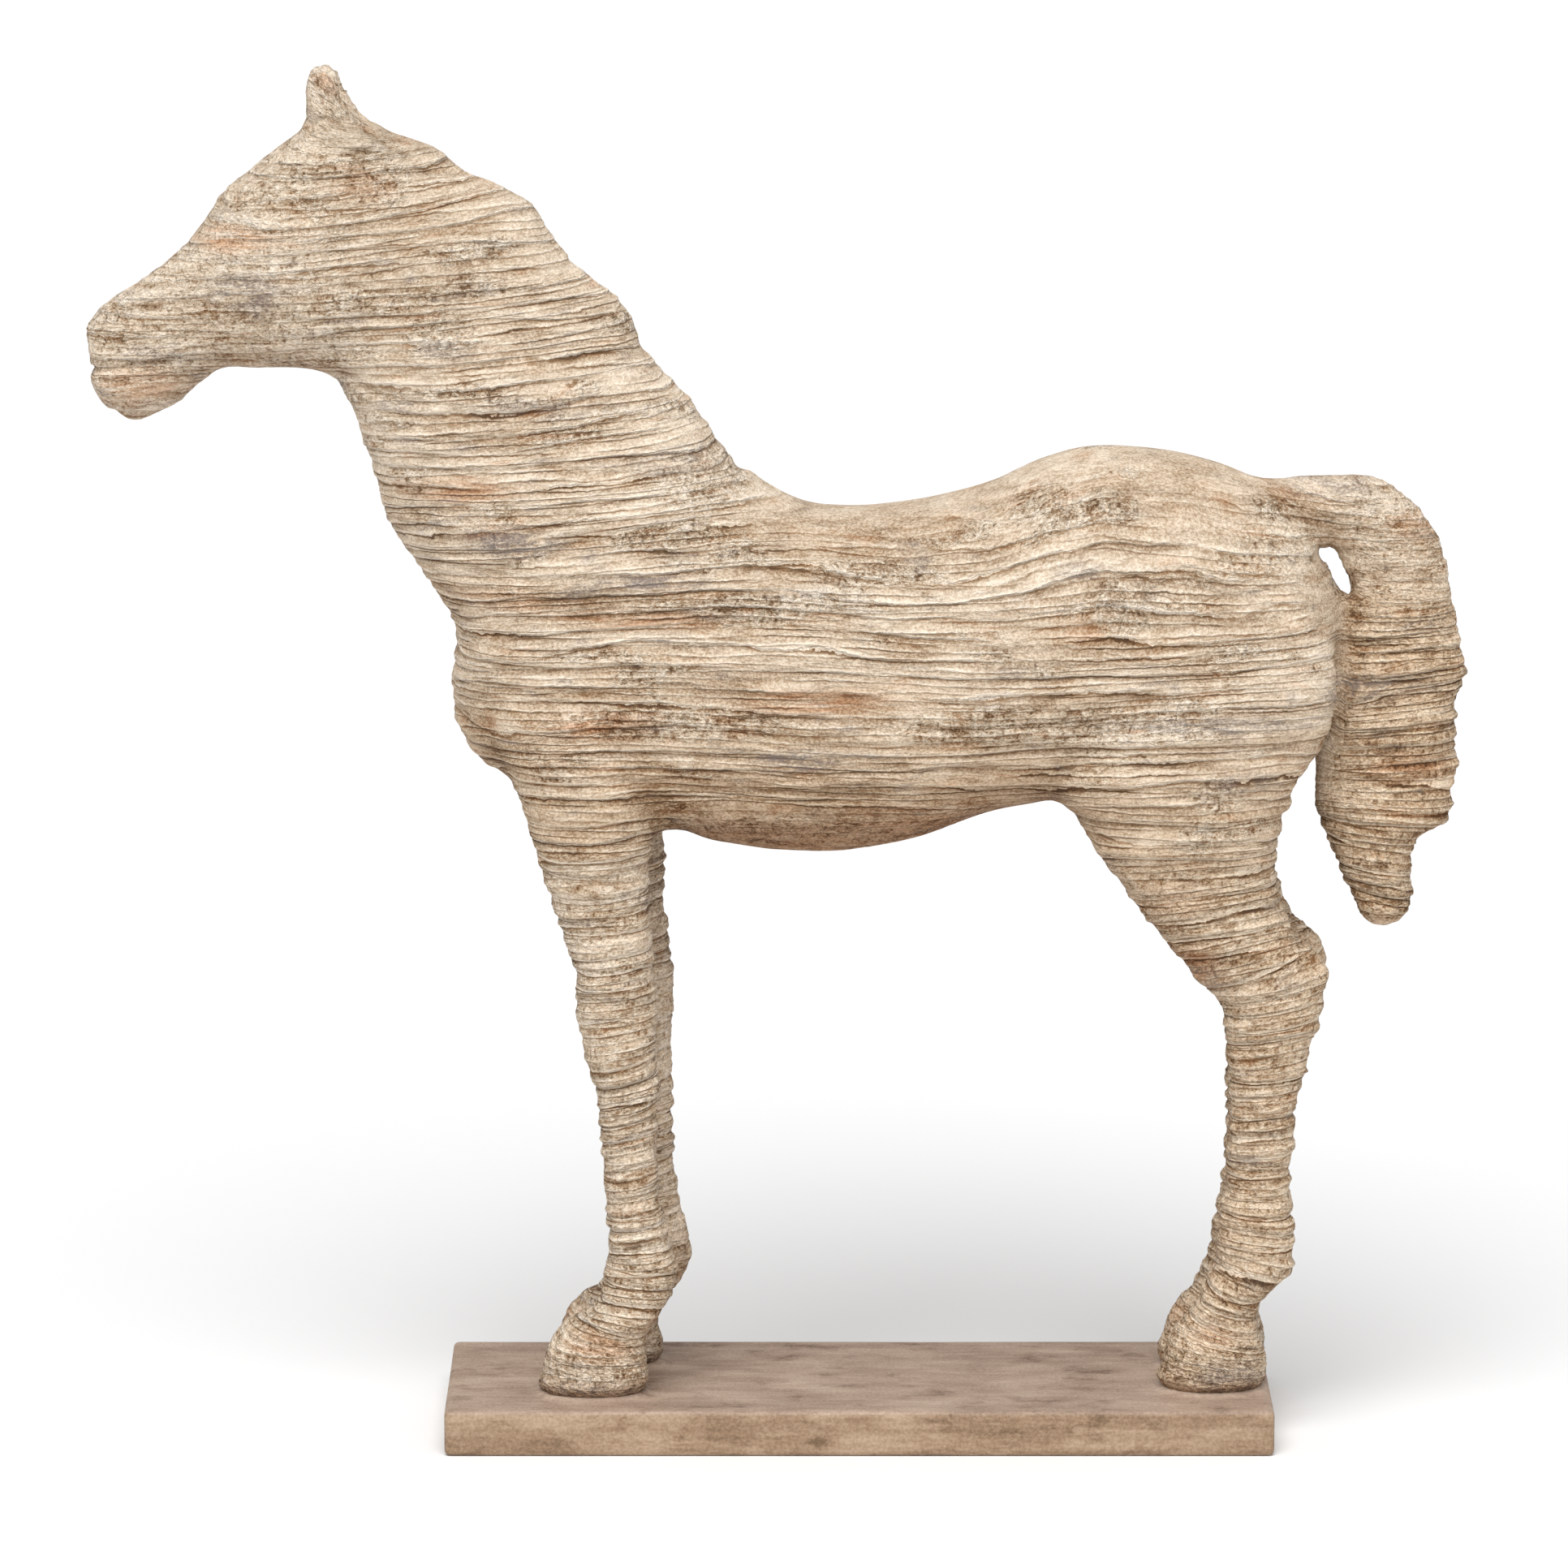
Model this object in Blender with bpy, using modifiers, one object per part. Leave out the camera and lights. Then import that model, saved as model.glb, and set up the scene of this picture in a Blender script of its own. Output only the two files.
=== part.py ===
# Polystone horse standing on a rectangular plinth. Metres, +Z up.
# The head points along -X, the tail along +X. The origin is the centre of the plinth's underside.
import math

import bmesh
import bpy
import numpy as np

# Driving dimensions
FIGURE_HEIGHT = 0.4415       # soles to ear tips
PLINTH_HEIGHT = 0.0154
PLINTH_SIDE_MARGIN = 0.0115   # plinth beyond the widest hoof, each side
PLINTH_FRONT_MARGIN = 0.0297  # plinth beyond the toes of the fore hooves
PLINTH_REAR_MARGIN = 0.0017   # plinth beyond the heels of the hind hooves
PLINTH_EDGE = 0.0018         # radius of its softened edges
SEAT_GAP = 0.0003            # between the soles and the plinth

# The figure's pose and proportions are shares of its height. They are written in parts,
# and a part is a millimetre on a figure as tall as this one.
HEIGHT_IN_PARTS = 441.5
PART = FIGURE_HEIGHT / HEIGHT_IN_PARTS

RING_POINTS = 32             # round each loft
RING_STEPS = 5               # rings from one rib to the next
SKIN_VOXEL = 2.1 * PART      # grain of the skin that fuses the lofts
SKIN_SMOOTHING = 6
FIGURE_TRIANGLES = 9300

STRATA_PITCH = 8.5           # parts, height of one weathered layer
STRATA_DEPTH = 1.3           # parts, how far a layer stands over the next

# A rib crosses the body from its upper or front edge to its lower or rear edge:
# (edge x, edge z, other edge x, other edge z, half width, squareness of the section)
# in parts, z above the soles. Squareness 2 is an ellipse.
TRUNK_RIBS = (
    (-255.0, 355.5, -251.5, 335.5, 8.5, 2.5),      # lips
    (-249.0, 363.0, -248.5, 329.5, 11.5, 2.4),
    (-241.0, 368.5, -240.0, 325.5, 13.0, 2.3),     # chin
    (-230.0, 375.8, -226.0, 329.0, 13.5, 2.2),
    (-219.0, 386.5, -211.0, 342.0, 15.5, 2.2),
    (-210.5, 398.0, -198.0, 342.0, 19.0, 2.2),     # brow
    (-198.5, 409.0, -184.0, 342.5, 22.0, 2.2),     # cheek
    (-180.0, 421.5, -171.5, 339.0, 22.5, 2.2),     # poll
    (-159.0, 423.5, -166.5, 330.0, 22.0, 2.1),
    (-140.5, 416.0, -164.5, 322.0, 22.0, 2.0),
    (-120.5, 404.5, -161.5, 313.5, 23.0, 2.0),
    (-103.0, 394.0, -158.5, 302.5, 24.5, 2.0),     # mid neck
    (-95.0, 378.0, -155.5, 295.5, 25.5, 2.0),
    (-77.5, 363.5, -151.0, 284.5, 28.0, 2.0),
    (-65.5, 344.0, -142.0, 271.5, 31.5, 2.1),
    (-53.5, 328.5, -135.5, 260.0, 34.5, 2.1),
    (-43.0, 312.0, -134.0, 246.0, 37.0, 2.2),      # withers and breast
    (-33.0, 305.0, -134.0, 231.0, 38.5, 2.2),
    (-20.0, 298.0, -126.0, 213.0, 40.0, 2.3),
    (-8.0, 295.8, -92.0, 195.0, 41.0, 2.4),
    (14.0, 296.8, -36.0, 183.2, 41.0, 2.5),        # girth
    (42.0, 303.3, 12.0, 184.6, 41.0, 2.5),
    (61.0, 312.0, 42.0, 194.2, 40.5, 2.4),
    (79.0, 316.5, 66.0, 198.0, 40.0, 2.3),         # croup
    (107.0, 313.8, 104.0, 200.0, 39.0, 2.2),
    (126.0, 307.5, 130.0, 208.0, 35.5, 2.1),
    (143.0, 297.0, 149.0, 226.0, 27.5, 2.0),
    (153.0, 280.0, 156.0, 243.0, 17.0, 2.0),
    (158.5, 268.0, 159.0, 256.0, 7.0, 2.0),        # point of the buttock
)
# A leg's rib has the distance of its centre from the middle plane before its half width.
FORELEG_RIBS = (
    (-116.0, 252.0, -66.0, 256.0, 18.0, 14.0, 2.2),
    (-122.0, 230.0, -66.0, 234.0, 21.5, 17.5, 2.2),
    (-113.0, 207.0, -66.0, 208.0, 21.0, 17.5, 2.2),
    (-108.8, 190.0, -69.0, 190.0, 19.5, 15.5, 2.2),  # elbow
    (-102.5, 170.0, -69.5, 170.0, 18.0, 13.5, 2.2),
    (-95.8, 147.0, -68.5, 147.0, 18.0, 12.0, 2.2),
    (-93.0, 126.0, -67.5, 126.0, 18.0, 11.5, 2.2),
    (-90.3, 113.0, -67.3, 113.0, 18.0, 11.0, 2.2),   # knee
    (-87.0, 97.0, -67.0, 98.0, 18.0, 9.5, 2.2),
    (-85.0, 70.0, -66.8, 72.0, 18.0, 8.8, 2.2),      # cannon
    (-84.0, 52.0, -64.0, 53.0, 18.5, 10.0, 2.2),
    (-84.5, 41.0, -61.0, 39.0, 18.5, 10.5, 2.2),     # fetlock
    (-87.0, 33.0, -65.0, 28.0, 19.0, 10.5, 2.2),
    (-96.5, 25.0, -69.0, 20.0, 19.0, 11.5, 2.2),
    (-103.0, 15.0, -69.5, 12.0, 19.5, 13.0, 2.2),    # hoof
    (-107.5, 2.0, -70.0, 2.0, 19.5, 14.5, 2.2),
    (-108.0, -6.0, -70.0, -6.0, 19.5, 14.5, 2.2),
)
HINDLEG_RIBS = (
    (84.0, 272.0, 138.0, 276.0, 14.0, 14.0, 2.1),
    (72.0, 250.0, 154.0, 254.0, 19.0, 18.5, 2.1),
    (63.0, 225.0, 156.5, 232.0, 20.5, 20.0, 2.1),
    (64.0, 203.0, 149.0, 214.0, 19.5, 19.0, 2.1),    # stifle
    (74.0, 190.0, 139.5, 198.5, 18.5, 17.0, 2.1),
    (86.5, 172.0, 137.5, 181.0, 17.0, 15.0, 2.1),    # gaskin
    (98.5, 156.0, 140.0, 166.0, 16.0, 13.0, 2.1),
    (111.0, 141.0, 151.0, 153.0, 15.5, 11.7, 2.1),   # hock
    (120.0, 128.0, 155.0, 138.0, 15.5, 11.2, 2.1),
    (121.7, 116.0, 150.5, 120.0, 15.5, 10.0, 2.1),
    (122.7, 98.0, 146.0, 100.0, 15.0, 9.5, 2.1),     # cannon
    (122.0, 75.0, 143.5, 75.0, 15.0, 9.2, 2.1),
    (119.0, 51.0, 144.5, 54.0, 15.0, 10.5, 2.1),
    (117.0, 41.0, 144.0, 39.5, 15.0, 10.8, 2.1),     # fetlock
    (112.0, 33.0, 135.0, 31.0, 15.0, 10.5, 2.1),
    (106.0, 24.0, 133.0, 23.0, 15.0, 11.5, 2.1),
    (102.0, 13.0, 134.5, 13.0, 15.0, 13.0, 2.1),     # hoof
    (99.5, 2.0, 135.0, 2.0, 15.0, 13.5, 2.1),
    (99.5, -6.0, 135.0, -6.0, 15.0, 13.5, 2.1),
)
TAIL_RIBS = (
    (118.0, 303.0, 118.0, 276.0, 9.0, 2.0),
    (134.0, 306.0, 138.0, 279.0, 9.0, 2.0),
    (147.0, 307.0, 149.5, 283.0, 9.0, 2.0),
    (160.0, 306.5, 155.5, 285.0, 8.5, 2.0),          # dock
    (172.0, 304.5, 159.5, 281.0, 8.5, 2.0),
    (183.5, 298.0, 161.5, 273.0, 8.5, 2.0),
    (192.0, 285.0, 162.5, 265.0, 9.0, 2.0),
    (197.0, 264.0, 160.0, 251.0, 10.0, 2.0),
    (200.0, 240.0, 155.0, 237.0, 11.0, 2.2),
    (198.0, 213.0, 149.5, 211.0, 11.0, 2.2),
    (196.5, 190.0, 152.5, 190.0, 10.0, 2.2),         # end of the outer lock
    (184.5, 184.5, 156.0, 182.0, 9.0, 2.0),
    (184.5, 165.0, 163.5, 165.0, 8.0, 2.0),
    (180.0, 155.5, 170.0, 155.5, 5.0, 2.0),
)
EAR_RIBS = (
    (-189.0, 411.0, -146.0, 413.0, 7.0, 7.0, 2.0),
    (-183.0, 421.0, -158.5, 422.5, 8.0, 6.4, 2.0),
    (-182.0, 430.0, -165.5, 430.0, 8.3, 5.6, 2.0),
    (-182.0, 437.0, -168.5, 437.0, 8.3, 4.8, 2.0),
    (-180.5, 442.0, -171.0, 442.0, 8.3, 3.4, 2.0),
)
FAR_FORELEG_SHIFT = 4.6      # parts, the far foreleg stands this much further back
FAR_HINDLEG_SHIFT = 1.0      # parts, and the far hind leg this much

HORSE_COLOUR = (0.56, 0.44, 0.31, 1.0)
PLINTH_COLOUR = (0.38, 0.28, 0.21, 1.0)


def spline(rows, steps):
    """Catmull-Rom curve through rows of numbers, with the end rows repeated beyond the ends."""
    rows = np.array(rows, float)
    padded = np.vstack((2 * rows[0] - rows[1], rows, 2 * rows[-1] - rows[-2]))
    curve = []
    for i in range(1, len(rows)):
        before, here, there, after = padded[i - 1:i + 3]
        for k in range(steps):
            t = k / steps
            curve.append(0.5 * (2 * here + (there - before) * t
                                + (2 * before - 5 * here + 4 * there - after) * t ** 2
                                + (3 * here - before - 3 * there + after) * t ** 3))
    curve.append(rows[-1])
    return curve


def signed_power(value, exponent):
    return math.copysign(abs(value) ** exponent, value)


def ring(rib, side_offset, side):
    """Points of one section: a superellipse across the rib and the Y axis."""
    edge_x, edge_z, other_x, other_z, half_width, squareness = rib
    middle = np.array(((edge_x + other_x) / 2, side * side_offset, (edge_z + other_z) / 2))
    reach = np.array(((edge_x - other_x) / 2, 0.0, (edge_z - other_z) / 2))
    points = []
    for k in range(RING_POINTS):
        angle = 2 * math.pi * k / RING_POINTS
        along = signed_power(math.cos(angle), 2 / squareness)
        across = signed_power(math.sin(angle), 2 / squareness)
        points.append(middle + reach * along + np.array((0.0, half_width * across, 0.0)))
    return points


def loft(mesh_builder, ribs, side=0, shift=0.0):
    """Skins a smooth closed tube through the ribs, rounded over at both ends."""
    offsets = [rib[4] if side else 0.0 for rib in ribs]
    sections = [(rib[0] + shift, rib[1], rib[2] + shift, rib[3], rib[-2], rib[-1]) for rib in ribs]
    rows = spline([section + (offset,) for section, offset in zip(sections, offsets)], RING_STEPS)
    rings = []
    for row in rows:
        points = ring(row[:6], row[6], side)
        rings.append([mesh_builder.verts.new(point * PART) for point in points])
    made = []
    for near, far in zip(rings, rings[1:]):
        for k in range(RING_POINTS):
            after = (k + 1) % RING_POINTS
            made.append(mesh_builder.faces.new((near[k], near[after], far[after], far[k])))
    for end, inner in ((rings[0], rings[1]), (rings[-1], rings[-2])):
        centre = sum((v.co for v in end), end[0].co * 0) / RING_POINTS
        outward = centre - sum((v.co for v in inner), inner[0].co * 0) / RING_POINTS
        tip = mesh_builder.verts.new(centre + outward * 0.5)
        for k in range(RING_POINTS):
            made.append(mesh_builder.faces.new((end[k], end[(k + 1) % RING_POINTS], tip)))
    bmesh.ops.recalc_face_normals(mesh_builder, faces=made)


def object_from(name, mesh_builder, collection):
    mesh = bpy.data.meshes.new(name)
    mesh_builder.to_mesh(mesh)
    mesh_builder.free()
    made = bpy.data.objects.new(name, mesh)
    collection.objects.link(made)
    return made


def applied_mesh(source):
    """The mesh of an object with its modifiers applied; the object itself is removed."""
    evaluated = source.evaluated_get(bpy.context.evaluated_depsgraph_get())
    mesh = bpy.data.meshes.new_from_object(evaluated)
    bpy.data.objects.remove(source)
    return mesh


def fused_figure(collection):
    """Trunk, legs, tail and ears fused in one skin."""
    lofts = bmesh.new()
    loft(lofts, TRUNK_RIBS)
    loft(lofts, TAIL_RIBS)
    for side in (-1, 1):
        far = side > 0
        loft(lofts, FORELEG_RIBS, side, FAR_FORELEG_SHIFT if far else 0.0)
        loft(lofts, HINDLEG_RIBS, side, FAR_HINDLEG_SHIFT if far else 0.0)
        loft(lofts, EAR_RIBS, side)
    rough = object_from("figure_lofts", lofts, collection)
    remesh = rough.modifiers.new("skin", "REMESH")
    remesh.mode = "VOXEL"
    remesh.voxel_size = SKIN_VOXEL
    smooth = rough.modifiers.new("soften", "SMOOTH")
    smooth.factor = 0.5
    smooth.iterations = SKIN_SMOOTHING
    return applied_mesh(rough)


def layer_profile(height):
    """Stand-out of the weathered layers over their height, from 0 to 1: each swells and breaks off below."""
    phase = height - np.floor(height)
    return np.sin(math.pi * phase ** 1.6)


def weather(mesh):
    """Cuts the layers that run round the figure, as steps of its side surfaces."""
    count = len(mesh.vertices)
    places = np.empty(count * 3)
    normals = np.empty(count * 3)
    mesh.vertices.foreach_get("co", places)
    mesh.vertex_normals.foreach_get("vector", normals)
    places = places.reshape(-1, 3) / PART
    normals = normals.reshape(-1, 3)
    x, y, z = places.T
    drift = 2.2 * np.sin(x / 31.0 + 0.8 * np.sin(z / 47.0)) + 1.2 * np.sin(y / 14.0 + x / 55.0)
    rise = np.where(z < 190.0, 0.10 * (x - 20.0) * np.sign(x - 20.0) / 10.0, 0.0)
    layers = layer_profile((z + drift + rise) / STRATA_PITCH)
    steepness = np.clip(np.hypot(normals[:, 0], normals[:, 1]) * 1.4 - 0.4, 0.0, 1.0)
    move = (layers - 0.5) * STRATA_DEPTH * steepness
    places[:, :2] += normals[:, :2] * move[:, None]
    mesh.vertices.foreach_set("co", (places * PART).ravel())
    mesh.update()


def sole_span():
    """Lowest and highest x of the soles and their widest y, in metres from the figure's own middle."""
    toe = FORELEG_RIBS[-1][0]
    heel = max(HINDLEG_RIBS[-1][2], HINDLEG_RIBS[-1][2] + FAR_HINDLEG_SHIFT)
    widest = max(leg[-1][4] + leg[-1][5] for leg in (FORELEG_RIBS, HINDLEG_RIBS))
    return toe * PART, heel * PART, widest * PART


def box(name, low, high, collection):
    made = bmesh.new()
    bmesh.ops.create_cube(made, size=1.0)
    for vertex in made.verts:
        for axis in range(3):
            vertex.co[axis] = low[axis] if vertex.co[axis] < 0 else high[axis]
    return object_from(name, made, collection)


def add_horse(parts, cutters, plinth_middle):
    mesh = fused_figure(parts)
    weather(mesh)
    horse = bpy.data.objects.new("horse", mesh)
    mesh.name = "horse"
    parts.objects.link(horse)
    horse.location = (-plinth_middle, 0.0, PLINTH_HEIGHT + SEAT_GAP)

    thin = horse.modifiers.new("thin", "DECIMATE")
    triangles = sum(len(face.vertices) - 2 for face in mesh.polygons)
    thin.ratio = min(1.0, FIGURE_TRIANGLES / triangles)
    thin.use_collapse_triangulate = True

    reach = FIGURE_HEIGHT
    ground = box("ground_cutter", (-reach, -reach, -reach), (reach, reach, 0.0), cutters)
    ground.parent = horse
    ground.hide_render = True
    ground.display_type = "WIRE"
    flat = horse.modifiers.new("flat_soles", "BOOLEAN")
    flat.operation = "DIFFERENCE"
    flat.solver = "EXACT"
    flat.object = ground
    mesh.shade_smooth()
    return horse


def add_plinth(parts, length, depth):
    half_length = length / 2
    half_depth = depth / 2
    plinth = box("plinth", (-half_length, -half_depth, 0.0), (half_length, half_depth, PLINTH_HEIGHT), parts)
    edge = plinth.modifiers.new("soft_edges", "BEVEL")
    edge.width = min(PLINTH_EDGE, PLINTH_HEIGHT / 3)
    edge.segments = 3
    edge.limit_method = "ANGLE"
    return plinth


def finish(piece, name, colour, roughness):
    material = bpy.data.materials.new(name)
    material.use_nodes = True
    shader = material.node_tree.nodes["Principled BSDF"]
    shader.inputs["Base Color"].default_value = colour
    shader.inputs["Roughness"].default_value = roughness
    shader.inputs["Metallic"].default_value = 0.0
    material.diffuse_color = colour
    piece.data.materials.clear()
    piece.data.materials.append(material)


def main():
    for thing in list(bpy.data.objects):
        bpy.data.objects.remove(thing)
    parts = bpy.data.collections.new("polystone_horse")
    cutters = bpy.data.collections.new("cutters")
    bpy.context.scene.collection.children.link(parts)
    bpy.context.scene.collection.children.link(cutters)

    toe, heel, widest = sole_span()
    front = toe - PLINTH_FRONT_MARGIN
    rear = heel + PLINTH_REAR_MARGIN
    horse = add_horse(parts, cutters, (front + rear) / 2)
    plinth = add_plinth(parts, rear - front, 2 * (widest + PLINTH_SIDE_MARGIN))
    finish(horse, "pale_polystone", HORSE_COLOUR, 0.85)
    finish(plinth, "brown_polystone", PLINTH_COLOUR, 0.75)


main()
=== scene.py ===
# Looks of the weathered polystone horse: a layered, driftwood-like skin and a smooth mottled plinth.
import math

import bmesh
import bpy
import numpy as np
from mathutils import Matrix, Vector
from mathutils.bvhtree import BVHTree


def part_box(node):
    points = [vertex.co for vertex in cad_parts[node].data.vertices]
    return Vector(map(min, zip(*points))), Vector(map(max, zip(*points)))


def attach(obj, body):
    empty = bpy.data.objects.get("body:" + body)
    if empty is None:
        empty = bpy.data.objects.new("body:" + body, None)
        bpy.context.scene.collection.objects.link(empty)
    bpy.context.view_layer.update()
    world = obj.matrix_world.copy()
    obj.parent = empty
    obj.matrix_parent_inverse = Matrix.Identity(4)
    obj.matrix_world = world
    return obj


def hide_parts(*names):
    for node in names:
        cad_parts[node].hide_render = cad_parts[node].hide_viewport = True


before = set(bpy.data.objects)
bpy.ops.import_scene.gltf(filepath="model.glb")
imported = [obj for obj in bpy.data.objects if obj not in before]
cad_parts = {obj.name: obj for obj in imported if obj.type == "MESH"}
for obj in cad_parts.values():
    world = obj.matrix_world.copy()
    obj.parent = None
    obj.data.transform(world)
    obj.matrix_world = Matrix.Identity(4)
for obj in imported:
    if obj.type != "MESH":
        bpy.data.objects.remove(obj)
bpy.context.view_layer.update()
print("frame loaded:", sorted(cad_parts))

mm = 0.001

# the camera of the photograph: a long lens a little above the back, square to the flank
photoView = dict(
    aim=(-25.0 * mm, 0.0, 218.4 * mm),
    distance=3.0,
    elevation=11.6,     # degrees above the horizon
    lens=207.7,         # on a 36 mm sensor
)


# small helpers for node trees, used for the relief and for the finishes

def wire(tree, kind, inputs=(), output=0, **settings):
    node = tree.nodes.new(kind)
    for key, value in settings.items():
        setattr(node, key, value)
    for key, value in dict(inputs).items():
        if isinstance(value, bpy.types.NodeSocket):
            tree.links.new(value, node.inputs[key])
        else:
            node.inputs[key].default_value = value
    return node.outputs[output]


def calc(tree, operation, *values):
    return wire(tree, "ShaderNodeMath", enumerate(values), operation=operation)


def total(tree, *values):
    result = values[0]
    for value in values[1:]:
        result = calc(tree, "ADD", result, value)
    return result


def product(tree, *values):
    result = values[0]
    for value in values[1:]:
        result = calc(tree, "MULTIPLY", result, value)
    return result


def ease(tree, value, low, high, start=0.0, end=1.0):
    # a soft step from start to end while value goes from low to high
    return wire(tree, "ShaderNodeMapRange", {"Value": value, "From Min": low, "From Max": high,
                                             "To Min": start, "To Max": end}, interpolation_type="SMOOTHSTEP")


def stretched(tree, vector, x, y, z):
    # sizes in mm of the pattern's features
    return wire(tree, "ShaderNodeVectorMath", {0: vector, 1: (1 / x, 1 / y, 1 / z)}, operation="MULTIPLY")


def noise(tree, vector, detail=2.0, roughness=0.5):
    return wire(tree, "ShaderNodeTexNoise",
                {"Vector": vector, "Scale": 1.0, "Detail": detail, "Roughness": roughness})


def grain(tree, vector, along, across, up, detail=2.0, roughness=0.5):
    # noise with features of these sizes in mm
    return noise(tree, stretched(tree, vector, along, across, up), detail, roughness)


def centred(tree, value):
    return calc(tree, "SUBTRACT", value, 0.5)


def swing(tree, value, low, high):
    # from -0.5 to 0.5 while value goes from low to high
    return centred(tree, ease(tree, value, low, high))


def cells(tree, vector, feature="F1", output="Distance"):
    return wire(tree, "ShaderNodeTexVoronoi", {"Vector": vector, "Scale": 1.0},
                output=output, feature=feature)


def mixColour(tree, factor, first, second, mode="MIX"):
    return wire(tree, "ShaderNodeMix", {0: factor, 6: first, 7: second}, output=2,
                data_type="RGBA", blend_type=mode)


def colourSteps(tree, value, stops):
    node = tree.nodes.new("ShaderNodeValToRGB")
    tree.links.new(value, node.inputs[0])
    band = node.color_ramp
    while len(band.elements) < len(stops):
        band.elements.new(0.5)
    for element, (place, colour) in zip(band.elements, stops):
        element.position = place
        element.color = (*colour, 1.0)
    return node.outputs[0]


def painted(tree, name, output="Fac"):
    return wire(tree, "ShaderNodeAttribute", output=output, attribute_name=name, attribute_type="GEOMETRY")


def weighted(tree, parts, shares):
    return [product(tree, part, shares[name]) for name, part in parts.items()]


def newFinish(name):
    made = bpy.data.materials.new(name)
    made.use_nodes = True
    return made, made.node_tree, made.node_tree.nodes["Principled BSDF"]


def joinFinish(tree, shader, colour, tone, height, settings):
    # the light parts are a little smoother than the dark ones
    bump = wire(tree, "ShaderNodeBump",
                {"Height": height, "Distance": mm, "Strength": settings["bump"]}, output="Normal")
    tree.links.new(colour, shader.inputs["Base Color"])
    tree.links.new(bump, shader.inputs["Normal"])
    tree.links.new(ease(tree, tone, 0.2, 0.9, *settings["roughness"]), shader.inputs["Roughness"])
    shader.inputs["Specular IOR Level"].default_value = settings["gloss"]


def placed(name, data):
    made = bpy.data.objects.new(name, data)
    bpy.context.scene.collection.objects.link(made)
    return made


def plainResult(holder):
    # what the holder's modifiers make, as a plain mesh
    made = bpy.data.meshes.new_from_object(holder.evaluated_get(bpy.context.evaluated_depsgraph_get()))
    bpy.data.objects.remove(holder)
    return made


# the layers of the casting: three families, from broad ledges down to thin leaves

layers = dict(
    # name and height of a layer in mm, its wander in layers, the sizes of that wander in mm, its run along
    # the body in mm, and the noise between which a run begins and is complete
    families=(
        ("ledge", 14.0, 1.2, (120.0, 70.0, 34.0), 50.0, (0.50, 0.60)),
        ("layer", 6.4, 2.7, (90.0, 60.0, 16.0), 44.0, (0.38, 0.52)),
        ("leaf", 2.8, 2.4, (64.0, 40.0, 8.0), 30.0, (0.38, 0.52)),
    ),
    torn=dict(ledge=0.11, layer=0.24, leaf=0.44),      # how ragged the lower lips are, in layers
    line=dict(ledge=0.035, layer=0.065, leaf=0.11),    # width of the dark line under a lip, in layers: a dark crack with painted shade
    onLegs=dict(ledge=0.5, layer=1.0, leaf=0.75),      # share of each family left on the legs
    tornOnLegs=0.55,         # share of the raggedness left there
    lip=0.10,                # height over which a lip stands out, in layers
    ribRise=0.22,            # and this much more on the legs, where the layers are rounded ribs
    ribFall=0.38,
    # noises: sizes in mm along, across and up, then detail and roughness
    tornGrain=(3.0, 3.0, 2.4, 3.0, 0.62),
    crumbGrain=(3.6, 3.6, 1.9, 3.0, 0.70),
    seed=3.0,
)


def tornNoise(tree, place, rounded):
    return product(tree, centred(tree, grain(tree, place, *layers["tornGrain"])),
                   total(tree, 1.0, product(tree, rounded, layers["tornOnLegs"] - 1.0)))


def lipProfile(tree, name, level, run, torn, rounded):
    # stand-out of the lip, the dark line under the lip above (a crack with painted shade), the bright edge
    # (rubbed paint with a painted highlight), and the step within the layer
    step = calc(tree, "FRACT", total(tree, level, product(tree, torn, layers["torn"][name])))
    line = layers["line"][name]
    low = high = layers["lip"]
    if name == "layer":
        low = total(tree, low, product(tree, rounded, layers["ribRise"]))
        high = total(tree, high, product(tree, rounded, layers["ribFall"]))
    lip = product(tree, ease(tree, step, 0.0, low), ease(tree, step, high, 1.0, 1.0, 0.0), run)
    gap = product(tree, ease(tree, step, 1.0 - 1.6 * line, 1.0 - 0.5 * line), run)
    edge = product(tree, ease(tree, step, 0.0, 0.3 * line), ease(tree, step, line, 3.5 * line, 1.0, 0.0), run)
    return lip, gap, edge, step


# the figure

horse = dict(
    smoothVoxel=2.0 * mm,    # grain of the first skin, which loses the facets
    smoothPasses=14,
    layerStretch=3.6,        # the fine skin is this much finer upwards than along
    fineVoxel=3.12 * mm,
    finePasses=2,
    finerEar=((-190.0, -146.0), (424.0, 470.0)),       # window of x and z with finer faces, in mm
    swell=0.15 * mm,         # gives back what the smoothing took
    farCreases=0.6,          # share of the creases' depth on the far side
    sole=15.5 * mm,          # the soles end here, just inside the rims on the plinth
    sideways=(0.20, 0.70),   # the layers come in while a face's normal turns sideways by this much
    inwards=(0.2, 0.8),      # the same for the inner faces of the legs
    # how the layers change by area: gains, then losses
    gains=dict(legs=0.35, tail=0.50),
    losses=dict(crown=0.70, belly=0.75, innerFace=0.35, tailTop=0.65, back=0.60, hooves=0.45, throat=0.30,
                valley=0.60, slot=1.0),
    tailRibs=0.7,            # how rounded the layers are at the tail's lower end
)

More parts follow.
